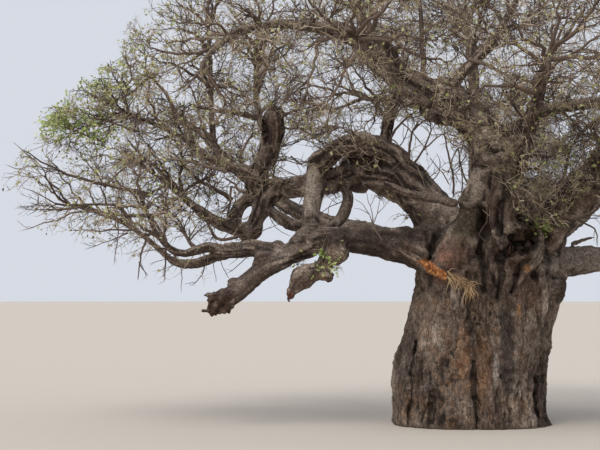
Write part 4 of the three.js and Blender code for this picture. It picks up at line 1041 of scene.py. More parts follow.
# branches that the view shows one by one: pixels, depth at each end, radius at each end
DRAWN = [
    [[(388, 146), (393, 134), (400, 124), (418, 110)], 0.2, -0.5, 0.044, 0.022],
    [[(391, 139), (397, 143), (402, 155), (405, 170)], 0.1, 0.1, 0.020, 0.016],
    [[(408, 162), (410, 143), (413, 130), (421, 119)], -0.1, -0.6, 0.040, 0.024],
    [[(402, 123), (411, 131), (421, 143), (428, 150)], -0.2, -0.4, 0.022, 0.008],
    [[(414, 130), (421, 123), (429, 117), (438, 112)], -0.3, -0.6, 0.026, 0.018],
    [[(413, 164), (424, 148), (430, 133), (431, 124), (427, 117)], 0.1, -0.5, 0.034, 0.014],
    [[(424, 150), (433, 141), (443, 134), (452, 130)], -0.1, -0.7, 0.026, 0.014],
    [[(444, 134), (447, 150), (451, 164), (453, 178), (454, 198)], -0.7, -0.3, 0.022, 0.032],
    [[(444, 135), (451, 143), (458, 147), (466, 149)], -0.7, -0.8, 0.018, 0.009],
    [[(457, 149), (452, 160), (451, 165), (447, 176)], -0.7, -0.5, 0.024, 0.010],
    [[(458, 148), (461, 165), (465, 178), (470, 185)], -0.8, -0.6, 0.024, 0.018],
    [[(466, 155), (461, 164), (457, 172), (448, 180)], -0.8, -0.5, 0.020, 0.008],
    [[(430, 158), (437, 167), (444, 175), (450, 186)], -0.2, -0.1, 0.012, 0.018],
    [[(442, 169), (450, 172), (460, 166), (468, 158)], -0.4, -0.7, 0.018, 0.010],
    [[(461, 166), (462, 178), (462, 190), (460, 202)], -0.7, -0.4, 0.016, 0.020],
    [[(430, 182), (438, 174), (440, 162), (436, 152)], 0.1, -0.2, 0.018, 0.007],
    [[(386, 176), (396, 166), (408, 158), (420, 156)], 0.0, -0.4, 0.015, 0.006],
    [[(432, 196), (424, 184), (420, 172), (412, 160)], -0.6, -0.2, 0.017, 0.007],
    [[(470, 132), (460, 138), (450, 141), (438, 146)], -1.0, -0.6, 0.014, 0.006],
    [[(291, 156), (297, 162), (304, 163), (313, 158)], 0.2, 0.2, 0.024, 0.016],
    [[(318, 118), (324, 106), (332, 94), (336, 80)], -0.6, -1.0, 0.026, 0.010],
    [[(352, 112), (344, 100), (334, 92), (322, 86)], -0.5, -1.1, 0.022, 0.008],
    [[(300, 104), (312, 98), (326, 97), (342, 92)], -0.8, -1.2, 0.020, 0.007],
    [[(396, 150), (404, 140), (408, 126), (406, 114)], 0.2, -0.3, 0.020, 0.009],
    [[(156, 74), (148, 79), (138, 87), (126, 96), (112, 101), (100, 107)], 0.9, 0.5, 0.048, 0.020],
    [[(112, 101), (98, 98), (88, 92), (80, 86)], 0.6, 0.3, 0.026, 0.008],
    [[(140, 131), (131, 130), (118, 125), (106, 120), (92, 119), (77, 118)], 0.9, 0.3, 0.040, 0.018],
    [[(77, 118), (66, 116), (56, 111), (48, 107)], 0.3, 0.0, 0.018, 0.007],
    [[(106, 142), (90, 137), (74, 131), (56, 126), (38, 128)], 0.4, -0.3, 0.032, 0.008],
    [[(126, 96), (118, 84), (112, 72), (110, 58)], 0.7, 0.2, 0.030, 0.008],
    [[(37, 166), (30, 158), (21, 149), (12, 141)], -1.2, -1.4, 0.016, 0.006],
    [[(424, 100), (423, 66), (421, 20), (418, -30)], -0.6, -1.2, 0.085, 0.050],
    [[(258, 118), (236, 113), (212, 110), (188, 103)], -0.8, -1.4, 0.085, 0.035],
    [[(158, 216), (170, 203), (182, 193), (196, 184), (212, 176)], -1.2, 0.3, 0.046, 0.040],
    [[(204, 216), (210, 228), (218, 239), (229, 239), (242, 235)], 0.4, -0.6, 0.040, 0.045],
    [[(147, 212), (158, 228), (168, 244), (180, 263)], -2.0, -0.9, 0.036, 0.034],
    [[(231, 186), (230, 200), (228, 214), (227, 229)], 0.4, 0.3, 0.034, 0.034],
    [[(186, 235), (180, 222), (170, 212), (160, 196)], -1.3, -0.6, 0.034, 0.018],
    [[(252, 238), (262, 231), (274, 226), (288, 222)], -0.6, -0.9, 0.016, 0.006],
    [[(268, 212), (272, 222), (280, 231), (292, 237)], 0.0, -0.5, 0.015, 0.006],
    [[(300, 226), (292, 214), (288, 204), (286, 196)], -0.8, -0.2, 0.013, 0.006],
    [[(330, 222), (328, 212), (331, 203), (336, 196)], -0.8, -0.3, 0.013, 0.006],
    [[(222, 240), (230, 232), (240, 226), (252, 222)], -0.9, -0.6, 0.014, 0.006],
    [[(105, 187), (115, 176), (125, 168), (136, 159)], -0.6, -1.0, 0.036, 0.018],
    [[(105, 187), (98, 176), (88, 164), (76, 153)], -0.6, -0.2, 0.034, 0.012],
    [[(176, 186), (158, 170), (138, 152), (126, 136)], 0.2, 0.6, 0.070, 0.022],
    [[(150, 195), (120, 188), (90, 181), (62, 171), (38, 160), (17, 146)], -0.4, -1.4, 0.075, 0.012],
    [[(62, 171), (46, 168), (30, 166), (16, 169), (4, 164)], -0.9, -1.3, 0.022, 0.007],
    [[(131, 221), (124, 211), (112, 205), (92, 204), (62, 205), (42, 197), (20, 188)], -0.45, -1.5, 0.048, 0.010],
    [[(92, 206), (70, 208), (44, 210), (17, 208)], -0.8, -1.8, 0.028, 0.008],
    [[(152, 216), (130, 216), (100, 212), (78, 212), (48, 222), (17, 232)], -1.8, -2.6, 0.055, 0.007],
    [[(150, 235), (128, 230), (98, 231), (66, 230)], -2.0, -2.8, 0.040, 0.008],
    [[(128, 233), (112, 240), (98, 245), (84, 250)], -2.2, -2.6, 0.020, 0.006],
    [[(118, 218), (118, 236), (116, 250), (114, 266)], -2.0, -2.0, 0.022, 0.007],
    [[(146, 240), (141, 254), (139, 268), (138, 281)], -2.0, -2.1, 0.034, 0.012],
    [[(139, 262), (142, 268), (146, 273), (148, 276)], -2.0, -2.1, 0.020, 0.010],
    [[(165, 240), (166, 256), (165, 268), (165, 279)], -1.2, -1.2, 0.032, 0.014],
    [[(181, 268), (182, 278), (181, 288), (182, 293)], -0.9, -0.9, 0.014, 0.006],
    [[(205, 262), (203, 272), (198, 280), (191, 286)], -1.0, -1.1, 0.020, 0.008],
    [[(213, 262), (214, 270), (216, 278), (216, 283)], -1.0, -1.0, 0.012, 0.006],
    [[(220, 259), (223, 268), (227, 275), (229, 279)], -1.1, -1.4, 0.010, 0.008],
    [[(176, 120), (170, 100), (158, 84), (140, 62)], 0.8, 0.4, 0.070, 0.020],
    [[(226, 172), (206, 166), (182, 160), (150, 160)], -0.5, -1.2, 0.060, 0.018],
    [[(232, 200), (214, 188), (196, 178), (180, 160), (168, 150)], 0.4, 0.9, 0.075, 0.020],
    [[(578, 220), (586, 224), (596, 231), (597, 247)], -0.4, -0.8, 0.034, 0.012],
    [[(572, 218), (582, 218), (592, 218), (600, 218)], 0.9, 0.6, 0.018, 0.014],
    [[(487, 178), (486, 198), (487, 221), (481, 229), (480, 236), (489, 245)], -2.9, -3.1, 0.016, 0.006],
    [[(492, 176), (510, 186), (524, 193), (535, 201)], -2.8, -3.4, 0.030, 0.010],
    [[(500, 168), (520, 190), (540, 212), (568, 222)], -3.0, -4.2, 0.026, 0.007],
    [[(384, 242), (379, 236), (375, 229), (373, 223)], -1.5, -1.6, 0.026, 0.014],
    [[(373, 224), (369, 214), (362, 204), (353, 198)], -1.6, -1.8, 0.015, 0.006],
    [[(373, 224), (372, 212), (368, 200), (366, 189)], -1.6, -1.6, 0.015, 0.006],
    [[(373, 225), (377, 214), (379, 204), (381, 196)], -1.6, -1.4, 0.015, 0.006],
    [[(377, 214), (383, 208), (387, 203), (390, 199)], -1.5, -1.5, 0.010, 0.004],
    [[(369, 214), (364, 211), (359, 209), (353, 208)], -1.7, -1.8, 0.010, 0.004],
    [[(370, 206), (373, 201), (375, 195), (375, 189)], -1.6, -1.6, 0.010, 0.004],
    [[(375, 230), (367, 224), (361, 221), (354, 217)], -1.6, -1.8, 0.009, 0.004],
    [[(532, 84), (548, 60), (566, 34), (590, 2)], -2.0, -2.6, 0.080, 0.030],
    [[(470, 60), (490, 66), (510, 78), (530, 96)], -1.6, -2.4, 0.060, 0.020],
    [[(600, 118), (584, 130), (570, 150), (566, 176)], 1.0, 1.4, 0.060, 0.026],
]
drawn_paths, drawn_radii = [], []
for px, y0, y1, r0, r1 in DRAWN:
    n = len(px)
    pts = np.array([from_frame(u, v, y0 + (y1 - y0) * k / (n - 1)) for k, (u, v) in enumerate(px)])
    ext = np.concatenate([[2 * pts[0] - pts[1]], pts, [2 * pts[-1] - pts[-2]]])
    smoothed = []
    for k in range(1, n):
        a, b, c, d = ext[k - 1:k + 3]
        for t in np.linspace(0, 1, 8, endpoint=(k == n - 1)):
            smoothed.append(0.5 * ((2 * b) + (c - a) * t + (2 * a - 5 * b + 4 * c - d) * t * t + (3 * b - a - 3 * c + d) * t ** 3))
    smoothed = np.array(smoothed)
    s = np.concatenate([[0], np.cumsum(np.linalg.norm(np.diff(smoothed, axis=0), axis=1))])
    uu = np.linspace(0, s[-1], 11)
    drawn_paths.append(np.stack([np.interp(uu, s, smoothed[:, k]) for k in range(3)], 1))
    drawn_radii.append(r0 + (r1 - r0) * np.linspace(0, 1, 11) ** 0.8)
drawn_paths = wiggle(np.array(drawn_paths), 0.006)
drawn_radii = np.array(drawn_radii)


b1, q1 = attach(in_masses(n1, 0.30, 0.86), nodes, 5.2, 0.055, 0.060, 0.018, 10, 0.9, 0.016, 0.40, 0.8)
nodes = join(join(nodes, nodes_of(b1, q1, 0.2)), nodes_of(drawn_paths, drawn_radii, 0.2))
b2, q2 = attach(in_masses(n2, 0.25, 0.97), nodes, 2.9, 0.018, 0.024, 0.0085, 6, 1.0, 0.028, 0.35, 0.35)


q1 = q1 * (1 - 0.36 * smooth(-7.4, -9.4, b1[..., 0]))
q2 = q2 * (1 - 0.30 * smooth(-7.4, -9.4, b2[..., 0]))


def crowding(p):
    """how much thicker than usual the twigs stand: the view shows dense parts"""
    u, v = to_frame(p)
    w = np.ones(len(p))
    for cu, cv, hu, hv, more in ((545, 158, 80, 72, 0.48), (558, 136, 26, 28, 0.30), (330, 50, 80, 70, 0.28), (180, 165, 85, 75, 0.30), (222, 108, 16, 14, 0.5), (470, 55, 70, 60, 0.30), (484, 90, 20, 22, 0.25), (57, 124, 26, 24, 0.45), (90, 126, 14, 14, -0.10), (30, 185, 40, 60, -0.28), (430, 155, 40, 40, 0.30)):
        e = np.maximum(np.abs(u - cu) / hu, np.abs(v - cv) / hv)
        w = w + more * smooth(1.25, 0.8, e)
    return w


def sprout(paths, radii, rate, start, length, cap, r_end, K, spread, bias, lift, wob, thick=False, weight=None, strict=1.0):
    """side shoots all along many paths; returns their paths, radii and parents"""
    M, K0, _ = paths.shape
    L = np.linalg.norm(np.diff(paths, axis=1), axis=2).sum(1)
    n = rng.poisson(L * (1 - start) * rate * crowding(paths.mean(1)) * (1 if weight is None else weight))
    pi = np.repeat(np.arange(M), n)
    t = start + (1 - start) * rng.random(len(pi)) ** 0.8
    xk = t * (K0 - 1)
    i = np.minimum(xk.astype(int), K0 - 2)
    f = (xk - i)[:, None]
    p = paths[pi, i] * (1 - f) + paths[pi, i + 1] * f
    tan = unit(paths[pi, i + 1] - paths[pi, i])
    r_at = radii[pi, i] * (1 - f[:, 0]) + radii[pi, i + 1] * f[:, 0]
    out = outward(p)
    side = unit(np.cross(tan, rng.normal(size=tan.shape)))
    flat = out - (out * tan).sum(1)[:, None] * tan
    side = unit(side + bias * flat)
    if thick:
        p = p + side * (r_at * 0.86)[:, None]
    a = np.radians(rng.uniform(*spread, len(p)))[:, None]
    d = tan * np.cos(a) + side * np.sin(a)
    l = (rng.uniform(*length, len(p)) * (1 - 0.42 * (t - start) / (1 - start)))[:, None]
    d1 = unit(d + 0.28 * tan + 0.26 * out + np.array((0, 0, lift)) + 0.62 * rng.normal(size=d.shape))
    p1 = p + d * l * 0.5
    p3 = p1 + d1 * l * 0.5
    tt = np.linspace(0, 1, K)[None, :, None]
    sp = wiggle((1 - tt) ** 2 * p[:, None] + 2 * (1 - tt) * tt * p1[:, None] + tt ** 2 * p3[:, None], wob)
    ok = np.minimum(allowed(sp[:, K // 2], strict), allowed(sp[:, -1], strict))
    go = rng.random(len(sp)) < ok
    sp, r_at, pi = sp[go], r_at[go], pi[go]
    r0 = np.minimum(cap * rng.uniform(0.75, 1.15, len(sp)), r_at * 0.85)
    return sp, taper(r0, np.minimum(r_end, r0), K), pi


limb_paths, limb_radii, limb_w = [], [], []
for name, *_r in LIMBS:
    c, r, s = chains[name]
    k0 = int(len(c) * 0.18)
    idx = np.linspace(k0, len(c) - 1, 12)
    lo_i = np.minimum(idx.astype(int), len(c) - 2)
    f = (idx - lo_i)
    limb_paths.append(c[lo_i] * (1 - f[:, None]) + c[lo_i + 1] * f[:, None])
    limb_radii.append(r[lo_i] * (1 - f) + r[lo_i + 1] * f)
    w = {"broken_bough": 0.12, "hanging_spur": 0.15, "hanging_tip": 0.1, "low_bough": 0.35, "link_upright": 0.5, "right_bough": 0.5,
         "arch_bough": 2.2, "arch_twin": 2.2, "arch_outer": 2.0, "front_upright": 1.6, "right_upright": 1.8, "centre_upper": 1.6, "high_left_bough": 1.8, "link_loop": 0.2, "link_sway": 0.3, "loop_limb": 0.5, "drop_spur": 0.7, "centre_bough": 0.25}.get(name, 1.0)
    limb_w.append(w)
limb_paths, limb_radii, limb_w = np.array(limb_paths), np.array(limb_radii), np.array(limb_w)

# third order: shoots on the second, on the first's outer part, on the drawn ones and on the limbs themselves
c0, s0, _p = sprout(limb_paths, limb_radii, 7.0, 0.0, (0.45, 1.35), 0.014, 0.006, 4, (45, 85), 0.35, 0.06, 0.035, True, limb_w)
c1, s1, _p = sprout(b1, q1, 3.9, 0.15, (0.45, 1.25), 0.0140, 0.006, 4, (35, 78), 0.22, 0.04, 0.055)
c2, s2, _p = sprout(b2, q2, 4.5, 0.08, (0.40, 1.15), 0.0132, 0.006, 3, (32, 78), 0.20, 0.02, 0.08)
thick_drawn = np.where(drawn_radii[:, 0] > 0.0165, 1.0, 0.0)
c3, s3, _p = sprout(drawn_paths, drawn_radii, 5.4, 0.10, (0.30, 0.90), 0.0110, 0.0055, 4, (28, 66), 0.20, 0.03, 0.035, False, thick_drawn, 0.75)
print("first", len(b1), "second", len(b2), "third", len(c0), len(c1), len(c2), len(c3))

tuft = []
for c, k, long_, way in TUFTS:
    d = unit(np.array(way) + 0.75 * rng.normal(size=(k, 3)))
    p0 = np.array(c) + 0.05 * rng.normal(size=(k, 3))
    l = long_ * rng.uniform(0.5, 1.1, (k, 1))
    tuft.append(np.stack([p0 - d * 0.10, p0 + d * l * 0.5, p0 + d * l + 0.06 * rng.normal(size=(k, 3))], 1))
tuft = np.concatenate(tuft)
tuft_r = taper(np.full(len(tuft), 0.009), np.full(len(tuft), 0.005), 3)

# fourth order and the finest, straight and pointed
thirds = [(c0, s0), (c1, s1), (c2, s2), (c3, s3), (tuft, tuft_r)]
fourths = [sprout(c, r, 3.55, 0.10, (0.20, 0.58), 0.0128, 0.004, 2, (32, 84), 0.12, 0.0, 0.0)[:2] for c, r in thirds]
fourths.append(sprout(b2, q2, 2.4, 0.10, (0.20, 0.60), 0.0128, 0.004, 2, (32, 84), 0.12, 0.0, 0.0)[:2])
finest = [sprout(c, r, 3.24, 0.10, (0.12, 0.38), 0.0116, 0.0, 2, (32, 92), 0.06, 0.0, 0.0)[:2] for c, r in thirds]
finest += [sprout(c, r, 3.82, 0.10, (0.10, 0.30), 0.0111, 0.0, 2, (32, 92), 0.06, 0.0, 0.0)[:2] for c, r in fourths]
print("fourth", sum(len(c) for c, _r in fourths), "finest", sum(len(c) for c, _r in finest))


def tubes(paths, radii, sides):
    """tapering tubes along many paths at once, each closed by a point"""
    M, K, _ = paths.shape
    tan = unit(np.gradient(paths, axis=1))
    ref = unit(np.cross(paths[:, -1] - paths[:, 0], rng.normal(size=(M, 3))))[:, None, :]
    e1 = unit(ref - (ref * tan).sum(-1, keepdims=True) * tan)
    e2 = np.cross(tan, e1)
    a = np.arange(sides) * 2 * math.pi / sides
    ring = (paths[:, :-1, None, :] + radii[:, :-1, None, None] * (np.cos(a)[None, None, :, None] * e1[:, :-1, None, :] + np.sin(a)[None, None, :, None] * e2[:, :-1, None, :]))
    v = np.concatenate([ring.reshape(M, -1, 3), paths[:, -1:, :]], 1)
    per = (K - 1) * sides + 1
    f = []
    for k in range(K - 2):
        for j in range(sides):
            a0, a1 = k * sides + j, k * sides + (j + 1) % sides
            f += [(a0, a1, a1 + sides), (a0, a1 + sides, a0 + sides)]
    for j in range(sides):
        f.append(((K - 2) * sides + j, (K - 2) * sides + (j + 1) % sides, per - 1))
    f = np.array(f)
    F = (f[None] + (np.arange(M) * per)[:, None, None]).reshape(-1, 3)
    return v.reshape(-1, 3), F, len(f)


class Heap:
    """many small meshes gathered into one piece"""

    def __init__(self):
        self.v, self.f, self.m, self.n = [], [], [], 0

    def add(self, v, f, m):
        self.v.append(v)
        self.f.append(f + self.n)
        self.m.append(m)
        self.n += len(v)

    def tris(self):
        return sum(len(f) for f in self.f)

    def make(self, name, mats, smooth_on=True):
        ob = make_mesh(name, np.concatenate(self.v), np.concatenate(self.f), mats, np.concatenate(self.m), smooth_on=smooth_on)
        print(name, self.tris(), "triangles")
        return ob


def spray_tint(p, n, seed, size=0.9):
    """one tint for each spray, a patch of the crown about a metre across"""
    i = np.floor(p / size + 0.35 * np.stack([noise(p / 0.7, seed + k) for k in range(3)], 1)).astype(np.int64)
    return (hash_cells(i, seed) * n).astype(int).clip(0, n - 1)


TWIG_MATS = [plain("twig_%d" % k, c, 0.88) for k, c in enumerate(
    [(144, 126, 111), (82, 68, 61), (196, 180, 157), (64, 53, 48), (170, 156, 126), (112, 94, 85)])]
LIMB_MATS = [plain("small_bough_%d" % k, c, 0.9) for k, c in enumerate([(102, 87, 77), (86, 73, 65), (120, 105, 92)])]
small = Heap()
for paths, radii, sides in ((b1, q1, 6), (drawn_paths, drawn_radii, 5), (b2, q2, 3)):
    v, f, per = tubes(paths, radii, sides)
    small.add(v, f, np.repeat(spray_tint(paths[:, 0], 3, 301, 1.4), per))
pieces["small_boughs"] = small.make("small_boughs", LIMB_MATS)

# straw-like fibres hang from the lower end of the wound
n = 130
t0 = rng.random(n)
fib0 = np.array([from_frame(447 + 26 * t, 271 + 11 * t + 6 * rng.random(), -1.62 - 0.06 * rng.random()) for t in t0])
fl = rng.uniform(0.14, 0.52, n)[:, None]
fd = unit(np.stack([rng.normal(0.50, 0.45, n), rng.normal(-0.18, 0.22, n), rng.normal(-0.50, 0.38, n)], 1))
tail = np.arange(n) < 26
fib0[tail] = np.array([from_frame(466 + 7 * rng.random(), 283 + 7 * rng.random(), -1.70) for _k in range(26)])
fd[tail] = unit(np.stack([rng.normal(-0.05, 0.22, 26), rng.normal(-0.08, 0.10, 26), rng.normal(-1.0, 0.15, 26)], 1))
fib1 = fib0 + fd * fl * 0.5
fib2 = fib1 + unit(fd + np.array((0, 0, -1.1)) + 0.4 * rng.normal(size=(n, 3))) * fl * 0.5
tt = np.linspace(0, 1, 4)[None, :, None]
fib = wiggle((1 - tt) ** 2 * fib0[:, None] + 2 * (1 - tt) * tt * fib1[:, None] + tt ** 2 * fib2[:, None], 0.03)
straw = Heap()
v, f, per = tubes(fib, taper(np.full(n, 0.014), np.full(n, 0.004), 4), 3)
straw.add(v, f, np.repeat(rng.integers(0, 3, n), per))
pieces["torn_fibres"] = straw.make("torn_fibres", [plain("fibre_0", (178, 148, 112), 0.8), plain("fibre_1", (136, 110, 84), 0.8), plain("fibre_2", (200, 172, 134), 0.8)])

SECTORS = 4
all_tw = thirds + fourths + finest
az_of = lambda p: np.arctan2(p[..., 1] - 0.5, p[..., 0])
weights = np.concatenate([np.repeat(az_of(p[:, -1]), (p.shape[1] - 2) * 2 + 1) for p, _q in all_tw])
cutsaz = np.quantile(weights, np.linspace(0, 1, SECTORS + 1))
cutsaz[0], cutsaz[-1] = -9, 9
twigs = [Heap() for _ in range(SECTORS)]
for paths, radii in all_tw:
    sec = np.searchsorted(cutsaz, az_of(paths[:, -1])) - 1
    tint = spray_tint(paths[:, 0], len(TWIG_MATS), 331, 0.38)
    for k in range(SECTORS):
        m = sec == k
        if not m.any():
            continue
        v, f, per = tubes(paths[m], radii[m], 3)
        twigs[k].add(v, f, np.repeat(tint[m], per))
sector_masses = [[] for _ in range(SECTORS)]
for name, c, half, seed in MASSES:
    sector_masses[int(np.searchsorted(cutsaz, az_of(np.array(c)))) - 1].append(name)
for k in range(SECTORS):
    ob = twigs[k].make("twigs_%d" % (k + 1), TWIG_MATS)
    pieces[ob.name] = ob
    if sector_masses[k]:
        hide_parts(*sector_masses[k])
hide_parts(*[m[0] for m in MASSES])

# ---------------------------------------------------------------------------
# young leaves, hanging pods and a few late flowers
# ---------------------------------------------------------------------------
LEAF_MATS = [plain("leaf_%d" % k, c, 0.62) for k, c in enumerate(
    [(178, 180, 122), (154, 158, 100), (194, 194, 146), (156, 178, 98), (192, 204, 136), (166, 154, 108)])]
tips = np.concatenate([p[:, -1] for p, _r in fourths + finest])
roots = np.concatenate([p[:, -2] for p, _r in fourths + finest])
heads = unit(tips - roots)
LEAFY = [  # middle, reach, how much more, 1 for fresh green: clumps of leaves that stand out
    [from_frame(92, 132, 0.2), 0.50, 0.40, 1], [from_frame(58, 121, 0.2), 0.55, 0.55, 1], [from_frame(47, 127, -0.4), 0.36, 0.5, 1], [from_frame(88, 124, -0.4), 0.42, 0.5, 1], [from_frame(68, 106, 0.3), 0.30, 0.6, 1], [from_frame(119, 130, 0.3), 0.26, 0.7, 1], [from_frame(98, 138, -0.3), 0.36, 0.4, 1],
    [from_frame(135, 41, 0.5), 0.28, 0.6, 1], [from_frame(115, 60, 0.5), 0.30, 0.5, 1], [from_frame(128, 70, 0.5), 0.30, 0.4, 1], [from_frame(84, 84, 0.4), 0.32, 0.5, 1], [from_frame(100, 78, 0.4), 0.30, 0.35, 1], [from_frame(76, 96, 0.3), 0.26, 0.4, 1], [from_frame(84, 142, 0.0), 0.28, 0.4, 1],
    [from_frame(38, 160, -0.8), 0.36, 0.30, 1], [from_frame(118, 162, -0.4), 0.22, 0.4, 1], [from_frame(156, 190, -0.8), 0.26, 0.35, 1], [from_frame(150, 150, -0.4), 0.22, 0.35, 1],
    [from_frame(88, 92, 0.4), 1.0, 0.50, 0], [from_frame(116, 66, 0.5), 1.2, 0.50, 0], [from_frame(34, 132, 0.0), 0.5, 0.6, 0], [from_frame(40, 170, -0.6), 1.3, 0.35, 0],
    [from_frame(120, 60, 0.0), 1.4, 0.40, 0], [from_frame(150, 30, 0.0), 1.6, 0.35, 0], [from_frame(160, 186, -0.8), 0.8, 0.35, 0],
    [from_frame(394, 79, -1.5), 0.30, 0.8, 1], [from_frame(180, 255, -1.0), 0.5, 0.3, 0], [from_frame(240, 130, 1.5), 1.2, 0.2, 0],
    [np.array((-3.9, -1.8, 4.1)), 0.50, 0.9, 2], [np.array((-4.62, -1.5, 4.15)), 0.35, 0.9, 2], [np.array((-4.12, -1.7, 4.42)), 0.30, 0.9, 2],
    [np.array((1.5, -1.75, 5.12)), 0.40, 0.95, 1], [np.array((1.95, -1.6, 5.28)), 0.40, 0.95, 1],
]
want = 0.040 + 0.13 * smooth(0.0, 0.8, fbm(tips / 1.1, 2, 401))
want = want + 0.10 * smooth(-6.0, -10.5, tips[:, 0]) + 0.06 * smooth(9.5, 12.5, tips[:, 2])
want = want * (1 - 0.45 * smooth(-2.5, -0.5, tips[:, 0]) * smooth(9.5, 8.0, tips[:, 2]))
many = np.zeros(len(tips))
for c, reach, more, fresh in LEAFY:
    deep = np.array((1.0, 0.4 if fresh == 1 and c[0] < -6 else 1.0, 1.0))      # clumps at the left run back into the crown
    w = smooth(reach * 1.2, reach * 0.5, np.linalg.norm((tips - c) * deep, axis=1))
    want = want + more * w
    many = np.maximum(many, w * (fresh > 0))
LEAVES = 14300
pick = np.where(rng.random(len(tips)) < want)[0]
rng.shuffle(pick)
count = np.where(many[pick] > 0.3, 4, 2)
keep = np.cumsum(count) <= LEAVES
pick, count = pick[keep], count[keep]
on = np.repeat(pick, count)
M = len(on)
base = roots[on] + (tips[on] - roots[on]) * rng.uniform(0.25, 1.0, (M, 1))
head = unit(heads[on] + 0.75 * rng.normal(size=(M, 3)) + np.array((0, 0, -0.25)))
up = unit(rng.normal(size=(M, 3)) * 0.7 + np.array((0, 0, 1.0)))
sideways = unit(np.cross(head, up))
up = np.cross(sideways, head)
size = rng.uniform(0.048, 0.080, M) * np.where(many[on] > 0.3, 0.84, 1.0)
tint = spray_tint(base, 3, 411, 0.7)
clear = np.zeros(M, bool)
for c, reach, more, fresh in LEAFY:
    if fresh:
        deep = np.array((1.0, 0.4 if fresh == 1 and c[0] < -6 else 1.0, 1.0))
        clear |= np.linalg.norm((base - c) * deep, axis=1) < reach * 1.05
tint = np.where(clear, 3 + (hash_cells(np.floor(base / 0.35).astype(np.int64), 421) > 0.5), tint)
tint = np.where(~clear & (hash_cells(np.floor(base / 0.9).astype(np.int64), 431) > 0.8), 5, tint)
lh = Heap()
five = rng.random(M) < 0.22
for mask, fan, grow_l in ((five, (-68, -34, 0, 34, 68), (0.72, 0.93, 1.0, 0.93, 0.72)), (~five, (-52, 0, 52), (0.85, 1.0, 0.85))):
    b_, h_, s_, u_, z_ = base[mask], head[mask], sideways[mask], up[mask], size[mask]
    wide = 0.20 if len(fan) == 5 else 0.26
    lv = []
    for a, g in zip(np.radians(fan), grow_l):
        d = h_ * math.cos(a) + s_ * math.sin(a)
        e = -h_ * math.sin(a) + s_ * math.cos(a)
        tip = b_ + d * (z_ * g)[:, None] - u_ * (z_ * g * 0.22)[:, None]
        mid = b_ + d * (z_ * g * 0.56)[:, None]
        w = e * (z_ * g * wide)[:, None]
        lift_ = u_ * (z_ * 0.05)[:, None]
        lv.append(np.stack([b_, mid + w + lift_, tip, mid - w + lift_], 1))
    lv = np.concatenate(lv, 1)
    nl = len(fan)
    lf = np.concatenate([[(4 * k, 4 * k + 1, 4 * k + 2), (4 * k, 4 * k + 2, 4 * k + 3)] for k in range(nl)])
    LF = (lf[None] + (np.arange(len(b_)) * 4 * nl)[:, None, None]).reshape(-1, 3)
    lh.add(lv.reshape(-1, 3), LF, np.repeat(tint[mask], len(lf)))
pieces["leaves"] = lh.make("leaves", LEAF_MATS, False)
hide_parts(*[m[0] for m in MASSES])

# pods hang on stalks from the outer tips
POD_MATS = [plain("pod_0", (92, 80, 68), 0.8), plain("pod_1", (112, 98, 78), 0.8)]
outer = (np.abs(tips) / np.array((11.6, 9.6, 12.0))).max(1)
cand = np.where((rng.random(len(tips)) < np.where(tips[:, 0] < -9.6, 0.035, 0.0022) * smooth(0.55, 0.9, outer)) & (heads[:, 2] < 0.5))[0]
top_p = roots[cand] + 0.55 * (tips[cand] - roots[cand])
M = len(cand)
drop = rng.uniform(0.07, 0.22, M)
bottom_p = top_p + np.stack([rng.normal(0, 0.015, M), rng.normal(0, 0.015, M), -drop], 1)
stalk = np.stack([top_p, (top_p + bottom_p) / 2 + rng.normal(0, 0.008, (M, 3)), bottom_p], 1)
keep = allowed(bottom_p) > 0.3
stalk, bottom_p = stalk[keep], bottom_p[keep]
M = len(stalk)
ph = Heap()
v, f, per = tubes(stalk, np.full((M, 3), 0.0055), 3)
ph.add(v, f, np.zeros(len(f), int))
rp = rng.uniform(0.016, 0.029, M)
rings = [(-1.0, 0.55), (0.0, 1.0), (1.2, 0.62)]
a6 = np.arange(6) * math.pi / 3
pv = [bottom_p + np.array((0, 0, 1.0)) * (rp * 0.2)[:, None]]
for zz, rr_ in rings:
    for a in a6:
        pv.append(bottom_p + np.stack([rp * rr_ * math.cos(a), rp * rr_ * math.sin(a), -rp * (1.3 + 1.1 * zz)], 1))
pv.append(bottom_p + np.array((0, 0, -1.0)) * (rp * 3.4)[:, None])
pv = np.stack(pv, 1)
pf = [(0, 1 + j, 1 + (j + 1) % 6) for j in range(6)]
for k in range(2):
    for j in range(6):
        a0, a1 = 1 + 6 * k + j, 1 + 6 * k + (j + 1) % 6
        pf += [(a0, a0 + 6, a1 + 6), (a0, a1 + 6, a1)]
pf += [(13 + j, 19, 13 + (j + 1) % 6) for j in range(6)]
pf = np.array(pf)
ph.add(pv.reshape(-1, 3), (pf[None] + (np.arange(M) * 20)[:, None, None]).reshape(-1, 3), np.repeat(rng.integers(0, 2, M), len(pf)))
pieces["pods"] = ph.make("pods", POD_MATS)
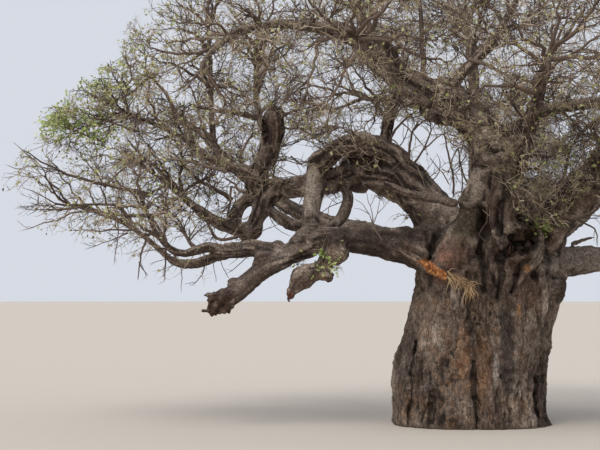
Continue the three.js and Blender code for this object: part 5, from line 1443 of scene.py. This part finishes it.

# flowers: five pale petals round a middle point on a short stalk, hanging
FLOWERS = [from_frame(522, 200, -4.0), from_frame(523, 172, -3.8), from_frame(524, 82, -4.2), from_frame(564, 91, -3.6), from_frame(583, 74, -4.0), from_frame(406, 99, -2.4)]
bloom = Heap()
for c in FLOWERS:
    vv, ff = [], []
    for j in range(5):
        a = j * 2 * math.pi / 5 + rng.random()
        d = np.array((math.cos(a), math.sin(a), -0.35))
        e = np.array((-math.sin(a), math.cos(a), 0.0))
        L = 0.062
        q = [c, c + d * L * 0.55 + e * 0.026, c + d * L + np.array((0, 0, -0.012)), c + d * L * 0.55 - e * 0.026]
        ff += [(len(vv), len(vv) + 1, len(vv) + 2), (len(vv), len(vv) + 2, len(vv) + 3)]
        vv += q
    bloom.add(np.array(vv), np.array(ff), np.zeros(len(ff), int))
    st = np.array([[c + np.array((0.02, 0.0, 0.22)), c + np.array((0.0, 0.0, 0.12)), c]])
    v, f, per = tubes(st, np.full((1, 3), 0.006), 4)
    bloom.add(v, f, np.ones(len(f), int))
pieces["blossom"] = bloom.make("blossom", [plain("petal", (232, 222, 196), 0.6), plain("flower_stalk", (110, 100, 76), 0.8)], False)

# ---------------------------------------------------------------------------
# light, floor and view
# ---------------------------------------------------------------------------
scene = bpy.context.scene
world = bpy.data.worlds.new("sky")
scene.world = world
world.use_nodes = True
bg = world.node_tree.nodes["Background"]
bg.inputs["Color"].default_value = (0.675, 0.705, 0.775, 1)
bg.inputs["Strength"].default_value = 1.0
sun = bpy.data.lights.new("soft_key", "SUN")
sun.energy = 2.5
sun.angle = math.radians(34)
sun.color = (1.0, 0.97, 0.93)
sun_ob = bpy.data.objects.new("soft_key", sun)
sun_ob.rotation_euler = (math.radians(38), math.radians(-22), math.radians(0))
scene.collection.objects.link(sun_ob)
scene.view_settings.view_transform = "Standard"
scene.view_settings.look = "None"

R = 1500.0
n = 96
ang = np.linspace(0, 2 * math.pi, n, endpoint=False)
fv = [(0, 0, 0)] + [(R * math.cos(a), R * math.sin(a), 0) for a in ang]
fme = bpy.data.meshes.new("floor")
fme.from_pydata(fv, [], [(0, 1 + k, 1 + (k + 1) % n) for k in range(n)])
floor = bpy.data.objects.new("floor", fme)
scene.collection.objects.link(floor)
floor.location.z = -0.004
fm, fnt, fb = new_material("floor")
fb.inputs["Base Color"].default_value = (0.52, 0.47, 0.41, 1)
fb.inputs["Roughness"].default_value = 0.95
fb.inputs["Specular IOR Level"].default_value = 0.1
fme.materials.append(fm)

# ---------------------------------------------------------------------------
# hand everything to the frame
# ---------------------------------------------------------------------------
for ob in pieces.values():
    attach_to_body(ob, "root")
